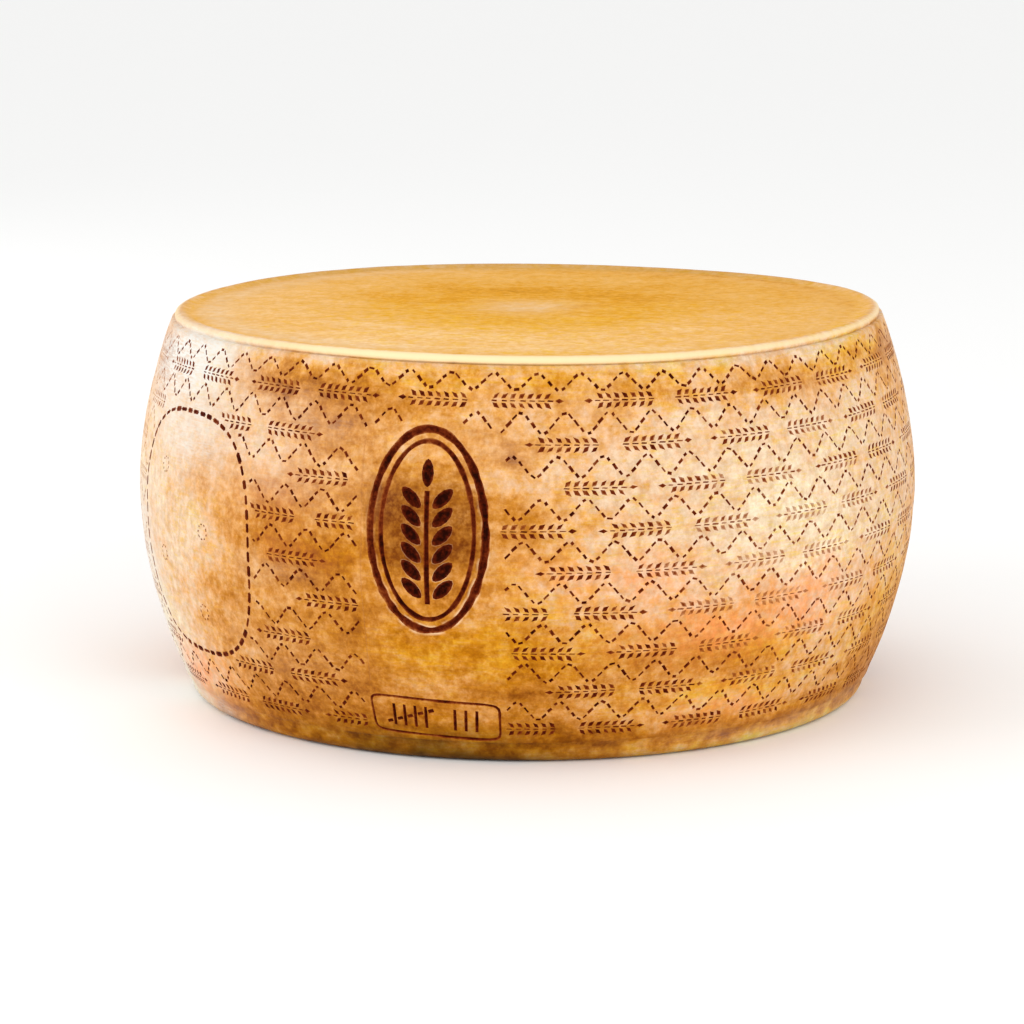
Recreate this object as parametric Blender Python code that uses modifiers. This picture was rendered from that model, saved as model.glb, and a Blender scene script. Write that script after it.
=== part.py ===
"""A whole wheel of hard, grainy cow's-milk cheese, as it leaves the ageing shelf.

The wheel is one solid. A profile turned about Z gives the flat foot, the rounded foot edge, the
barrel side, the rounded lip and the slightly sunk top face, and a few slow waves then make it as
uneven as a real wheel. The large marks on the side are real grooves: an oval mark with an ear of
grain, burnt in with a hot iron, a framed tally box under it, and a stitched panel outline.

Units are metres, and angles are degrees anticlockwise from +X. +Z is up, the origin is the middle
of the foot on the ground, and the burnt mark looks towards -Y.
"""

import math

import bmesh
import bpy
from mathutils import Matrix, Vector

MM = 0.001

# Driving dimensions of the wheel
WHEEL_HEIGHT = 215.6 * MM  # ground to the crest of the lip
BELLY_RADIUS = 220.0 * MM  # where the side is widest
BELLY_HEIGHT = 118.0 * MM
LIP_RADIUS = 198.7 * MM
FOOT_RADIUS = 189.5 * MM  # the side's line carried on down to the ground
UPPER_BULGE = 1.78  # power of the curve from the belly up to the lip
LOWER_BULGE = 2.05  # power of the curve from the belly down to the foot

# Lip and top face
LIP_ROUND = 4.2 * MM  # radius of the lip's outer edge
LIP_WIDTH = 4.6 * MM  # lip's crest to its outer face
LIP_SLOPE = 5.0 * MM  # run of the slope from the crest down to the top face
TOP_SINK = 1.3 * MM  # top face below the lip
LIP_STEP = 0.6 * MM  # how far the side stands back under the lip
DIMPLE_RADIUS = 14.0 * MM  # small round print in the middle of the top
DIMPLE_SINK = 0.7 * MM

# Foot
FOOT_ROUND = 6.8 * MM
FOOT_BAND_HEIGHT = 12.0 * MM  # the mould band's lower edge leaves a ledge at this height
FOOT_BAND_STEP = 0.5 * MM

# Slow waves that make the wheel uneven: how far, and how many waves round the wheel
LIP_SWELL = 2.2 * MM
LIP_SWELL_WAVES = 3
LIP_DIP = 0.8 * MM
LIP_DIP_WAVES = 3
LIP_LEAN = 0.7 * MM  # the lip is higher on the +X side
BELLY_SWELL = 0.66 * MM
BELLY_SWELL_WAVES = 2

# Facets
SEGMENTS = 96  # round the wheel
SIDE_STATIONS = 13  # up the side
ROUND_STATIONS = 3  # round an edge

# Oval mark burnt in with a hot iron
MARK_ANGLE = 256.5
MARK_HEIGHT = 127.0 * MM
MARK_HALF_WIDTH = 31.0 * MM
MARK_HALF_TALL = 52.0 * MM
MARK_INSET = 6.0 * MM  # inner ring inside the outer one
MARK_GROOVE = 1.7 * MM  # radius of the round-nosed iron
MARK_FINE_GROOVE = 1.0 * MM
MARK_DEPTH = 1.3 * MM
GRAIN_PAIRS = 6
GRAIN_PITCH = 9.0 * MM
GRAIN_LENGTH = 12.0 * MM
GRAIN_WIDTH = 6.4 * MM
GRAIN_LEAN = 34.0
GRAIN_OFFSET = 6.4 * MM  # grain's centre off the stem
GRAIN_DEPTH = 1.4 * MM
STEM_LOW = -38.0 * MM
STEM_HIGH = 24.0 * MM

# Tally box
BOX_ANGLE = 256.3
BOX_HEIGHT = 24.0 * MM
BOX_WIDTH = 75.0 * MM
BOX_TALL = 22.0 * MM
BOX_CORNER = 3.0 * MM
BOX_GROOVE = 0.9 * MM
BOX_DEPTH = 0.7 * MM
TALLY_TALL = 12.0 * MM
TALLY_PITCH = 5.2 * MM
TALLY_GROUPS = (4, 3)  # strokes in each group; the first group is struck through
TALLY_GROUP_GAP = 16.0 * MM

# Stitched panel outline: a squared circle
PANEL_ANGLE = 211.5
PANEL_HEIGHT = 107.0 * MM
PANEL_HALF_WIDTH = 62.0 * MM
PANEL_HALF_TALL = 66.0 * MM
PANEL_POWER = 2.8
PANEL_STITCHES = 48
STITCH_SHARE = 0.72  # of the pitch that a stitch fills
PANEL_GROOVE = 0.9 * MM
PANEL_DEPTH = 0.8 * MM

RIND_COLOUR = (0.80, 0.47, 0.17, 1.0)  # linear
RIND_ROUGHNESS = 0.48


def clear_scene():
    """Remove every object of the open file."""
    for old in list(bpy.data.objects):
        bpy.data.objects.remove(old)


def side_radius(z):
    """Radius of the even side at height z, before any ledge or rounding."""
    if z > BELLY_HEIGHT:
        rise = (z - BELLY_HEIGHT) / (WHEEL_HEIGHT - BELLY_HEIGHT)
        return BELLY_RADIUS - (BELLY_RADIUS - LIP_RADIUS) * rise**UPPER_BULGE
    drop = (BELLY_HEIGHT - z) / BELLY_HEIGHT
    return BELLY_RADIUS - (BELLY_RADIUS - FOOT_RADIUS) * drop**LOWER_BULGE


def uneven(angle, radius, z):
    """The turned point (radius, z) after the slow waves, as a new (radius, z)."""
    turn = math.radians(angle)
    share = z / WHEEL_HEIGHT
    belly = 4.0 * share * (1.0 - share)
    out = radius / LIP_RADIUS
    swell = share * LIP_SWELL * math.sin(LIP_SWELL_WAVES * turn)
    swell -= belly * BELLY_SWELL * math.sin(BELLY_SWELL_WAVES * turn)
    rise = LIP_DIP * math.cos(LIP_DIP_WAVES * turn) + LIP_LEAN * math.cos(turn)
    return radius + swell * out, z + share * rise * out


def quarter_round(centre_r, centre_z, radius, start):
    """Points of a quarter circle in the profile, turning clockwise from the start angle."""
    points = []
    for i in range(ROUND_STATIONS + 1):
        a = math.radians(start - 90.0 * i / ROUND_STATIONS)
        points.append((centre_r + radius * math.cos(a), centre_z + radius * math.sin(a)))
    return points


def wheel_profile():
    """Half outline from the middle of the top, over the lip and down to the middle of the foot."""
    face = WHEEL_HEIGHT - TOP_SINK
    crest = LIP_RADIUS - LIP_WIDTH
    under_lip = WHEEL_HEIGHT - LIP_ROUND - LIP_STEP
    foot = side_radius(FOOT_ROUND)

    profile = [(0.0, face - DIMPLE_SINK), (0.8 * DIMPLE_RADIUS, face - DIMPLE_SINK)]
    profile += [(DIMPLE_RADIUS, face), (0.5 * crest, face), (crest - LIP_SLOPE, face)]
    profile += [(crest - 0.4 * LIP_SLOPE, face + 0.4 * TOP_SINK), (crest, WHEEL_HEIGHT)]
    profile += quarter_round(LIP_RADIUS - LIP_ROUND, WHEEL_HEIGHT - LIP_ROUND, LIP_ROUND, 90.0)
    profile.append((LIP_RADIUS - LIP_STEP, under_lip))

    for i in range(1, SIDE_STATIONS):
        z = under_lip + (FOOT_BAND_HEIGHT - under_lip) * i / SIDE_STATIONS
        profile.append((side_radius(z), z))
    profile.append((side_radius(FOOT_BAND_HEIGHT) + FOOT_BAND_STEP, FOOT_BAND_HEIGHT))
    profile.append((side_radius(FOOT_BAND_HEIGHT), FOOT_BAND_HEIGHT - FOOT_BAND_STEP))
    profile += quarter_round(foot - FOOT_ROUND, FOOT_ROUND, FOOT_ROUND, 0.0)
    profile += [(0.5 * foot, 0.0), (0.0, 0.0)]
    return profile


def collection(name):
    """A new collection in the scene."""
    made = bpy.data.collections.new(name)
    bpy.context.scene.collection.children.link(made)
    return made


def baked_mesh(obj):
    """The object's mesh as the viewport shows it, as a new mesh."""
    bpy.context.view_layer.update()
    graph = bpy.context.evaluated_depsgraph_get()
    return bpy.data.meshes.new_from_object(obj.evaluated_get(graph))


def turned_wheel(group):
    """The uneven wheel without its marks: a screwed profile with the slow waves put in."""
    profile = wheel_profile()
    outline = bpy.data.meshes.new("wheel_outline")
    edges = [(i, i + 1) for i in range(len(profile) - 1)]
    outline.from_pydata([(r, 0.0, z) for r, z in profile], edges, [])
    turned = bpy.data.objects.new("wheel_outline", outline)
    group.objects.link(turned)

    screw = turned.modifiers.new("turn", "SCREW")
    screw.steps = screw.render_steps = SEGMENTS
    screw.use_merge_vertices = True
    screw.merge_threshold = 0.05 * MM
    mesh = baked_mesh(turned)
    bpy.data.objects.remove(turned)

    for vertex in mesh.vertices:
        angle = math.degrees(math.atan2(vertex.co.y, vertex.co.x))
        radius, z = uneven(angle, math.hypot(vertex.co.x, vertex.co.y), vertex.co.z)
        turn = math.radians(angle)
        vertex.co = (radius * math.cos(turn), radius * math.sin(turn), z)

    mesh.name = "cheese_wheel"
    wheel = bpy.data.objects.new("cheese_wheel", mesh)
    group.objects.link(wheel)
    return wheel


def side_frame(angle, z, lift=0.0):
    """Matrix of a spot on the side: X along the side, Y up it, Z straight out, lift off it."""
    turn = math.radians(angle)
    radius, height = uneven(angle, side_radius(z), z)
    slope = (side_radius(z + MM) - side_radius(z - MM)) / (2.0 * MM)
    out = Vector((math.cos(turn), math.sin(turn), -slope)).normalized()
    along = Vector((-math.sin(turn), math.cos(turn), 0.0))
    up = out.cross(along)
    spot = Vector((radius * math.cos(turn), radius * math.sin(turn), height)) + lift * out
    frame = Matrix((along, up, out)).transposed().to_4x4()
    frame.translation = spot
    return frame


def on_side(angle, z, across, up, lift=0.0):
    """Point on the side, across and up from a mark's centre along the surface."""
    turn = math.degrees(across / side_radius(z + up))
    return side_frame(angle + turn, z + up, lift).translation


def groove_cutter(group, name, points, width, depth, closed=False):
    """A round bar along points that stand on the side, sunk so that it cuts that deep.

    The points are given as (angle, z, across, up), and the bar's radius is the width.
    """
    curve = bpy.data.curves.new(name, "CURVE")
    curve.dimensions = "3D"
    curve.bevel_depth = width
    curve.bevel_resolution = 1
    curve.use_fill_caps = True
    spline = curve.splines.new("POLY")
    spline.points.add(len(points) - 1)
    for point, place in zip(spline.points, points):
        point.co = (*on_side(*place, lift=width - depth), 1.0)
    spline.use_cyclic_u = closed

    bar = bpy.data.objects.new(name, curve)
    group.objects.link(bar)
    mesh = baked_mesh(bar)
    bpy.data.objects.remove(bar)
    welded = bmesh.new()
    welded.from_mesh(mesh)
    bmesh.ops.remove_doubles(welded, verts=welded.verts, dist=0.01 * MM)
    bmesh.ops.recalc_face_normals(welded, faces=welded.faces)
    welded.to_mesh(mesh)
    welded.free()
    return hidden(group, name, mesh)


def grain_cutter(group, name, across, up, lean):
    """An almond-shaped cutter for one grain of the ear, leaning off the stem."""
    ball = bmesh.new()
    bmesh.ops.create_uvsphere(ball, u_segments=8, v_segments=6, radius=1.0)
    size = Matrix.Diagonal((0.5 * GRAIN_WIDTH, 0.5 * GRAIN_LENGTH, GRAIN_DEPTH, 1.0))
    upright = Matrix.Rotation(math.radians(90.0), 4, "X")
    z = MARK_HEIGHT + up
    turn = math.degrees(across / side_radius(z))
    place = side_frame(MARK_ANGLE + turn, z) @ Matrix.Rotation(math.radians(lean), 4, "Z")
    bmesh.ops.transform(ball, matrix=place @ size @ upright, verts=ball.verts)
    mesh = bpy.data.meshes.new(name)
    ball.to_mesh(mesh)
    ball.free()
    return hidden(group, name, mesh)


def hidden(group, name, mesh):
    """A cutter object that is left out of the model."""
    cutter = bpy.data.objects.new(name, mesh)
    cutter.hide_render = True
    cutter.display_type = "WIRE"
    group.objects.link(cutter)
    return cutter


def oval(half_width, half_tall, count, power=2.0):
    """Points (across, up) of a closed oval; a power over 2 squares it off."""
    points = []
    for i in range(count):
        a = math.tau * i / count
        c, s = math.cos(a), math.sin(a)
        across = math.copysign(abs(c) ** (2.0 / power), c) * half_width
        up = math.copysign(abs(s) ** (2.0 / power), s) * half_tall
        points.append((across, up))
    return points


def evenly_spaced(points, count):
    """The closed outline walked at an even pace, as count points."""
    closed = [Vector(p) for p in points] + [Vector(points[0])]
    walked = [0.0]
    for a, b in zip(closed, closed[1:]):
        walked.append(walked[-1] + (b - a).length)
    spaced, i = [], 0
    for k in range(count):
        target = walked[-1] * k / count
        while walked[i + 1] < target:
            i += 1
        share = (target - walked[i]) / (walked[i + 1] - walked[i])
        spaced.append(tuple(closed[i].lerp(closed[i + 1], share)))
    return spaced


def mark_cutters(group):
    """Two oval rings round an upright ear of grain."""
    ring_stations = 40
    rings = (("mark_ring", 0.0, MARK_GROOVE), ("mark_inner_ring", MARK_INSET, MARK_FINE_GROOVE))
    for name, inset, groove in rings:
        outline = oval(MARK_HALF_WIDTH - inset, MARK_HALF_TALL - inset, 4 * ring_stations)
        points = [(MARK_ANGLE, MARK_HEIGHT, *p) for p in evenly_spaced(outline, ring_stations)]
        groove_cutter(group, name, points, groove, MARK_DEPTH, closed=True)

    stem_stations = 7
    rise = (STEM_HIGH - STEM_LOW) / (stem_stations - 1)
    stem = [(MARK_ANGLE, MARK_HEIGHT, 0.0, STEM_LOW + rise * i) for i in range(stem_stations)]
    groove_cutter(group, "mark_stem", stem, MARK_FINE_GROOVE, MARK_DEPTH)

    for pair in range(GRAIN_PAIRS):
        up = STEM_HIGH - GRAIN_PITCH * (pair + 0.5)
        for side in (-1, 1):
            name = f"mark_grain_{pair}_{'left' if side < 0 else 'right'}"
            grain_cutter(group, name, side * GRAIN_OFFSET, up, -side * GRAIN_LEAN)
    grain_cutter(group, "mark_grain_tip", 0.0, STEM_HIGH + 0.5 * GRAIN_LENGTH, 0.0)


def rounded_box(width, tall, corner, steps=3):
    """Points (across, up) of a rectangle with rounded corners."""
    points = []
    for quarter, (sx, sy) in enumerate(((1, 1), (-1, 1), (-1, -1), (1, -1))):
        for i in range(steps + 1):
            a = math.radians(90.0 * (quarter + i / steps))
            across = sx * (0.5 * width - corner) + corner * math.cos(a)
            up = sy * (0.5 * tall - corner) + corner * math.sin(a)
            points.append((across, up))
    return points


def box_cutters(group):
    """The rounded frame, and counting strokes inside it."""
    frame_stations = 36
    outline = evenly_spaced(rounded_box(BOX_WIDTH, BOX_TALL, BOX_CORNER), frame_stations)
    points = [(BOX_ANGLE, BOX_HEIGHT, *p) for p in outline]
    groove_cutter(group, "box_frame", points, BOX_GROOVE, BOX_DEPTH, closed=True)

    half = 0.5 * TALLY_TALL
    width = TALLY_PITCH * (sum(TALLY_GROUPS) - len(TALLY_GROUPS))
    across = -0.5 * (width + TALLY_GROUP_GAP * (len(TALLY_GROUPS) - 1))
    for group_number, strokes in enumerate(TALLY_GROUPS):
        first = across
        for stroke in range(strokes):
            at = first + TALLY_PITCH * stroke
            upright = [(BOX_ANGLE, BOX_HEIGHT, at, up) for up in (-half, 0.0, half)]
            name = f"box_stroke_{group_number}_{stroke}"
            groove_cutter(group, name, upright, BOX_GROOVE, BOX_DEPTH)
        last = first + TALLY_PITCH * (strokes - 1)
        if group_number == 0:
            reach = 0.6 * TALLY_PITCH
            ends = ((first - reach, -0.7 * half), (0.5 * (first + last), 0.0), (last + reach, 0.7 * half))
            struck = [(BOX_ANGLE, BOX_HEIGHT, *end) for end in ends]
            groove_cutter(group, "box_gate", struck, BOX_GROOVE, BOX_DEPTH)
        across = last + TALLY_GROUP_GAP


def panel_cutters(group):
    """The stitches of the panel's squared-circle outline."""
    per_stitch = 8
    count = PANEL_STITCHES * per_stitch
    outline = oval(PANEL_HALF_WIDTH, PANEL_HALF_TALL, 2 * count, PANEL_POWER)
    walk = evenly_spaced(outline, count)
    filled = round(per_stitch * STITCH_SHARE)
    for stitch in range(PANEL_STITCHES):
        start = stitch * per_stitch
        ends = (start, start + filled // 2, start + filled)
        points = [(PANEL_ANGLE, PANEL_HEIGHT, *walk[i % count]) for i in ends]
        groove_cutter(group, f"panel_stitch_{stitch}", points, PANEL_GROOVE, PANEL_DEPTH)


def carve(wheel, cutters):
    """Cut every cutter out of the wheel, and keep the result as its mesh."""
    cut = wheel.modifiers.new("marks", "BOOLEAN")
    cut.operation = "DIFFERENCE"
    cut.operand_type = "COLLECTION"
    cut.collection = cutters
    mesh = baked_mesh(wheel)
    wheel.modifiers.clear()
    wheel.data = mesh


def centre_on_foot(wheel):
    """Shift the mesh so that its outline's middle stands over the origin, on the ground."""
    corners = [wheel.matrix_world @ Vector(corner) for corner in wheel.bound_box]
    low = [min(corner[i] for corner in corners) for i in range(3)]
    high = [max(corner[i] for corner in corners) for i in range(3)]
    shift = Vector((-0.5 * (low[0] + high[0]), -0.5 * (low[1] + high[1]), -low[2]))
    wheel.data.transform(Matrix.Translation(shift))


def dress(wheel):
    """Give the wheel its rind material and smooth shading with crisp mark edges."""
    rind = bpy.data.materials.new("aged_rind")
    rind.use_nodes = True
    shader = rind.node_tree.nodes["Principled BSDF"]
    shader.inputs["Base Color"].default_value = RIND_COLOUR
    shader.inputs["Roughness"].default_value = RIND_ROUGHNESS
    shader.inputs["Metallic"].default_value = 0.0
    wheel.data.materials.clear()
    wheel.data.materials.append(rind)
    wheel.data.shade_smooth()
    wheel.data.set_sharp_from_angle(angle=math.radians(35.0))


def main():
    """Turn the wheel, carve its marks and set it on its foot."""
    clear_scene()
    model = collection("cheese")
    cutters = collection("cutters")
    wheel = turned_wheel(model)
    mark_cutters(cutters)
    box_cutters(cutters)
    panel_cutters(cutters)
    carve(wheel, cutters)
    centre_on_foot(wheel)
    dress(wheel)


main()
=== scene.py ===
"""The looks of a whole wheel of hard, grainy aged cheese.

One closed mesh of rind replaces the plain wheel. Its side is worked out on the unrolled plane: a
sheet as long as the wheel is round at its belly, and as tall as the side. There the mould band's
stitched print, the oval mark burnt in with a hot iron, the tally box and the big stitched panel
are laid out in millimetres, triangulated with the sheet and then wrapped round the barrel. A lip,
a top face, a foot and an underside close it. Slow tones, painted by soft patches and seeded
clouds, drive one rind material.
"""

import logging
import math
from collections.abc import Callable
from dataclasses import dataclass, field
from enum import Enum

import bpy
import numpy as np
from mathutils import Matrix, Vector, geometry


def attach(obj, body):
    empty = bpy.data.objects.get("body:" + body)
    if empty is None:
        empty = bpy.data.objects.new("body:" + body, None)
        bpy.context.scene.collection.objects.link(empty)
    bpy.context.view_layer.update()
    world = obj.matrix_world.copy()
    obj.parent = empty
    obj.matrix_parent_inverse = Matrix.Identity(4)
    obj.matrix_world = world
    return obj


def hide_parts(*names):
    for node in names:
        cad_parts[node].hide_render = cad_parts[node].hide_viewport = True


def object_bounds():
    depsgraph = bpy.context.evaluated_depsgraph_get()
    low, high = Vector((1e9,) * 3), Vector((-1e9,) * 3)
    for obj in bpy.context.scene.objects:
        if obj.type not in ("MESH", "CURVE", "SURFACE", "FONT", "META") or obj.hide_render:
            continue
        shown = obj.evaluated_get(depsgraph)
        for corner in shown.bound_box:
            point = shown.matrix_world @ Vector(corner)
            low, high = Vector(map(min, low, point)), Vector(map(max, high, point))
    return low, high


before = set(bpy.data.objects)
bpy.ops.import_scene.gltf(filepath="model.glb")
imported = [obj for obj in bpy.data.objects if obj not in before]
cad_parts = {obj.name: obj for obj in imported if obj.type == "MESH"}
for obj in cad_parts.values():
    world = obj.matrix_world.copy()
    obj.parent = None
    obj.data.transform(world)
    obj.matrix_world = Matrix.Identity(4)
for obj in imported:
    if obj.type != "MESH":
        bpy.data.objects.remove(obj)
CAD_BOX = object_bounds()

LOG = logging.getLogger("cheese_wheel")
MM = 0.001
NODE = "cheese_wheel"
# More than the mesh has points, so that a pair of point numbers makes one key.
KEY_STEP = 10_000_000

Tones = dict[str, np.ndarray | float]


# ---------------------------------------------------------------------------------------------
# Small tools
# ---------------------------------------------------------------------------------------------


def linear(colour: str) -> tuple[float, float, float, float]:
    """Turn an sRGB hex colour into linear RGBA.

    Args:
        colour: six hex digits, such as "f2cf9d".

    Returns:
        Linear red, green, blue and an alpha of 1.
    """
    channels = [int(colour[i : i + 2], 16) / 255.0 for i in (0, 2, 4)]
    return (*[c / 12.92 if c <= 0.04045 else ((c + 0.055) / 1.055) ** 2.4 for c in channels], 1.0)


def add_node(
    tree: bpy.types.NodeTree,
    kind: str,
    inputs: dict | tuple = (),
    give: int | str = 0,
    **settings: object,
) -> bpy.types.NodeSocket | None:
    """Add a shader node, set its settings, fill or link its inputs, and give one of its outputs.

    Args:
        tree: the node tree.
        kind: the node's type name after "ShaderNode", such as "Math".
        inputs: input name or number to a value, or to the output that drives it; a tuple fills
            the first inputs in their order.
        give: number or name of the output to give.
        settings: attributes of the node.

    Returns:
        The chosen output, or None for a node without any.
    """
    node = tree.nodes.new("ShaderNode" + kind)
    for name, value in settings.items():
        setattr(node, name, value)
    for key, value in inputs.items() if isinstance(inputs, dict) else enumerate(inputs):
        if isinstance(value, bpy.types.NodeSocket):
            tree.links.new(value, node.inputs[key])
        else:
            node.inputs[key].default_value = value
    return node.outputs[give] if node.outputs else None


def soft_step(x: np.ndarray) -> np.ndarray:
    """Ease from 0 to 1 as x goes from 0 to 1, flat outside: 3x^2 - 2x^3."""
    x = np.clip(x, 0.0, 1.0)
    return x * x * (3.0 - 2.0 * x)


def hump(x: np.ndarray, middle: float, half: float, power: float = 2.0) -> np.ndarray:
    """Soft hump of height 1: exp(-d^p), with d the distance from its middle in half widths."""
    return np.exp(-(np.abs((x - middle) / half) ** power))


def angle_hump(turn: np.ndarray, angle: float, half: float, power: float = 2.0) -> np.ndarray:
    """The same hump round an angle of the wheel, for angles in radians and a middle in degrees."""
    return hump((np.degrees(turn) - angle + 180.0) % 360.0, 180.0, half, power)


def clouds(
    along: np.ndarray, across: np.ndarray, cell: float, period: float, seed: int
) -> np.ndarray:
    """Smooth value noise from -1 to 1 on a lattice of seeded random heights.

    The value is the eased blend of the four lattice heights around a point, and the lattice joins
    up with itself after the given period along its first axis.

    Args:
        along: first coordinates, in mm.
        across: second coordinates, in mm.
        cell: lattice spacing, in mm.
        period: period of the first axis, in mm.
        seed: seed of the lattice.

    Returns:
        One value for each point.
    """
    columns = max(2, round(period / cell))
    rows = 97
    heights = np.random.default_rng(seed).uniform(-1.0, 1.0, (columns, rows))
    u = np.asarray(along) / period * columns
    v = np.asarray(across) / cell + 40.0
    i, j = np.floor(u).astype(int), np.floor(v).astype(int)
    fu, fv = soft_step(u - i), soft_step(v - j)
    i0, i1, j0, j1 = i % columns, (i + 1) % columns, j % rows, (j + 1) % rows
    low = heights[i0, j0] * (1.0 - fu) + heights[i1, j0] * fu
    high = heights[i0, j1] * (1.0 - fu) + heights[i1, j1] * fu
    return low * (1.0 - fv) + high * fv


# ---------------------------------------------------------------------------------------------
# The wheel's form
# ---------------------------------------------------------------------------------------------


@dataclass(frozen=True)
class WheelForm:
    """The barrel form of the wheel, in mm, and the unrolled plane of its side.

    On the plane, along is the length round the belly from the seam at the back, and up is the
    height above the ground.
    """

    height: float = 215.6
    belly_radius: float = 220.0
    belly_height: float = 118.0
    lip_radius: float = 198.7
    foot_radius: float = 189.5
    upper_bulge: float = 1.78
    lower_bulge: float = 2.05
    seam_angle: float = 90.0
    lip_swell: float = 2.2
    lip_dip: float = 0.8
    lip_lean: float = 0.7
    lip_tip: float = 1.2
    belly_swell: float = 0.66

    @property
    def length(self) -> float:
        """Length of the unrolled side at the belly."""
        return math.tau * self.belly_radius

    def along(self, angle: float) -> float:
        """Place on the unrolled plane of an angle in degrees anticlockwise from +X."""
        return math.radians((angle - self.seam_angle) % 360.0) * self.belly_radius

    def turn(self, along: np.ndarray) -> np.ndarray:
        """Angle in radians of a place on the unrolled plane."""
        return np.asarray(along) / self.belly_radius + math.radians(self.seam_angle)

    def side_radius(self, up: np.ndarray) -> np.ndarray:
        """Radius of the even side: the belly's, less a power of the way to the lip or foot.

        Args:
            up: heights.

        Returns:
            Radii.
        """
        up = np.asarray(up, dtype=float)
        rise = np.clip((up - self.belly_height) / (self.height - self.belly_height), 0.0, 1.0)
        drop = np.clip((self.belly_height - up) / self.belly_height, 0.0, 1.0)
        upper = (self.belly_radius - self.lip_radius) * rise**self.upper_bulge
        lower = (self.belly_radius - self.foot_radius) * drop**self.lower_bulge
        return self.belly_radius - upper - lower

    def uneven(self, turn: np.ndarray, radius: np.ndarray, up: np.ndarray) -> np.ndarray:
        """Turn profile points into space, with the slow waves that the real wheel has.

        The lip swells by a sine of three times the angle and rises by sines of three and one
        times it, both growing with height; the belly swells by a sine of twice it.

        Args:
            turn: angles in radians.
            radius: radii of the even form.
            up: heights of the even form.

        Returns:
            Points in mm, as (n, 3).
        """
        share = up / self.height
        belly = 4.0 * share * (1.0 - share)
        out = radius / self.lip_radius
        swell = share * self.lip_swell * np.sin(3.0 * turn)
        swell = swell - belly * self.belly_swell * np.sin(2.0 * turn)
        rise = self.lip_dip * np.cos(3.0 * turn) + self.lip_lean * np.cos(turn)
        rise = rise - self.lip_tip * np.sin(turn)
        wide = radius + swell * out
        return np.stack([wide * np.cos(turn), wide * np.sin(turn), up + share * rise * out], 1)

    def wrap(self, along: np.ndarray, up: np.ndarray, lift: np.ndarray) -> np.ndarray:
        """Wrap points of the unrolled plane round the barrel, lifted straight off it.

        Args:
            along: places round the wheel.
            up: heights.
            lift: how far each point stands off the even side.

        Returns:
            Points in mm, as (n, 3).
        """
        slope = self.side_radius(up + 0.5) - self.side_radius(up - 0.5)
        level = 1.0 / np.hypot(1.0, slope)
        radius = self.side_radius(up) + lift * level
        return self.uneven(self.turn(along), radius, up - lift * level * slope)


FORM = WheelForm()


@dataclass(frozen=True)
class Cloud:
    """One layer of clouds: size in mm, how many times flatter than wide, swing and seed."""

    size: float
    flat: float
    swing: float
    seed: int


def heaped(
    layers: tuple[Cloud, ...], along: np.ndarray, up: np.ndarray, period: float = FORM.length
) -> np.ndarray:
    """Sum of layers of clouds.

    Args:
        layers: the layers.
        along: first coordinates, in mm.
        up: second coordinates, in mm.
        period: period of the first axis, in mm.

    Returns:
        One value for each point.
    """
    return sum(
        layer.swing * clouds(along, layer.flat * up, layer.size, period, layer.seed)
        for layer in layers
    )


# ---------------------------------------------------------------------------------------------
# Marks on the unrolled plane
# ---------------------------------------------------------------------------------------------


class PrickShape(Enum):
    """Outline of a small pricked mark: rim points and floor points, as shares of its half sizes."""

    DASH = (
        ((1.0, 0.0), (0.72, 1.0), (-0.72, 1.0), (-1.0, 0.0), (-0.72, -1.0), (0.72, -1.0)),
        ((0.55, 0.0), (-0.55, 0.0)),
    )
    STITCH = (
        ((1.0, 0.62), (-0.8, 1.0), (-1.0, -0.62), (0.8, -1.0)),
        ((0.35, 0.0), (-0.35, 0.0)),
    )
    GRAIN = (
        ((1.0, 0.0), (-0.15, 1.0), (-1.0, 0.0), (-0.15, -1.0)),
        ((-0.1, 0.0),),
    )


@dataclass
class Pricks:
    """Many small marks of one shape, one row of each array for a mark."""

    shape: PrickShape
    centre: np.ndarray
    lean: np.ndarray
    half_length: np.ndarray
    half_width: np.ndarray
    depth: np.ndarray
    ink: np.ndarray

    ROWS = ("centre", "lean", "half_length", "half_width", "depth", "ink")

    def kept(self, keep: np.ndarray) -> "Pricks":
        """The marks for which keep is true."""
        return Pricks(self.shape, *[getattr(self, name)[keep] for name in self.ROWS])

    def placed(self, points: tuple[tuple[float, float], ...]) -> np.ndarray:
        """Points given as shares of the half sizes, placed for every mark.

        Args:
            points: the shares along and across a mark.

        Returns:
            Places as (marks, points, 2).
        """
        local = np.array(points)
        x = local[None, :, 0] * self.half_length[:, None]
        y = local[None, :, 1] * self.half_width[:, None]
        c, s = np.cos(self.lean)[:, None], np.sin(self.lean)[:, None]
        return self.centre[:, None, :] + np.stack([x * c - y * s, x * s + y * c], 2)


def joined(parts: list[Pricks]) -> Pricks:
    """Marks of one shape put together."""
    rows = [np.concatenate([getattr(part, name) for part in parts]) for name in Pricks.ROWS]
    return Pricks(parts[0].shape, *rows)


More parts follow.
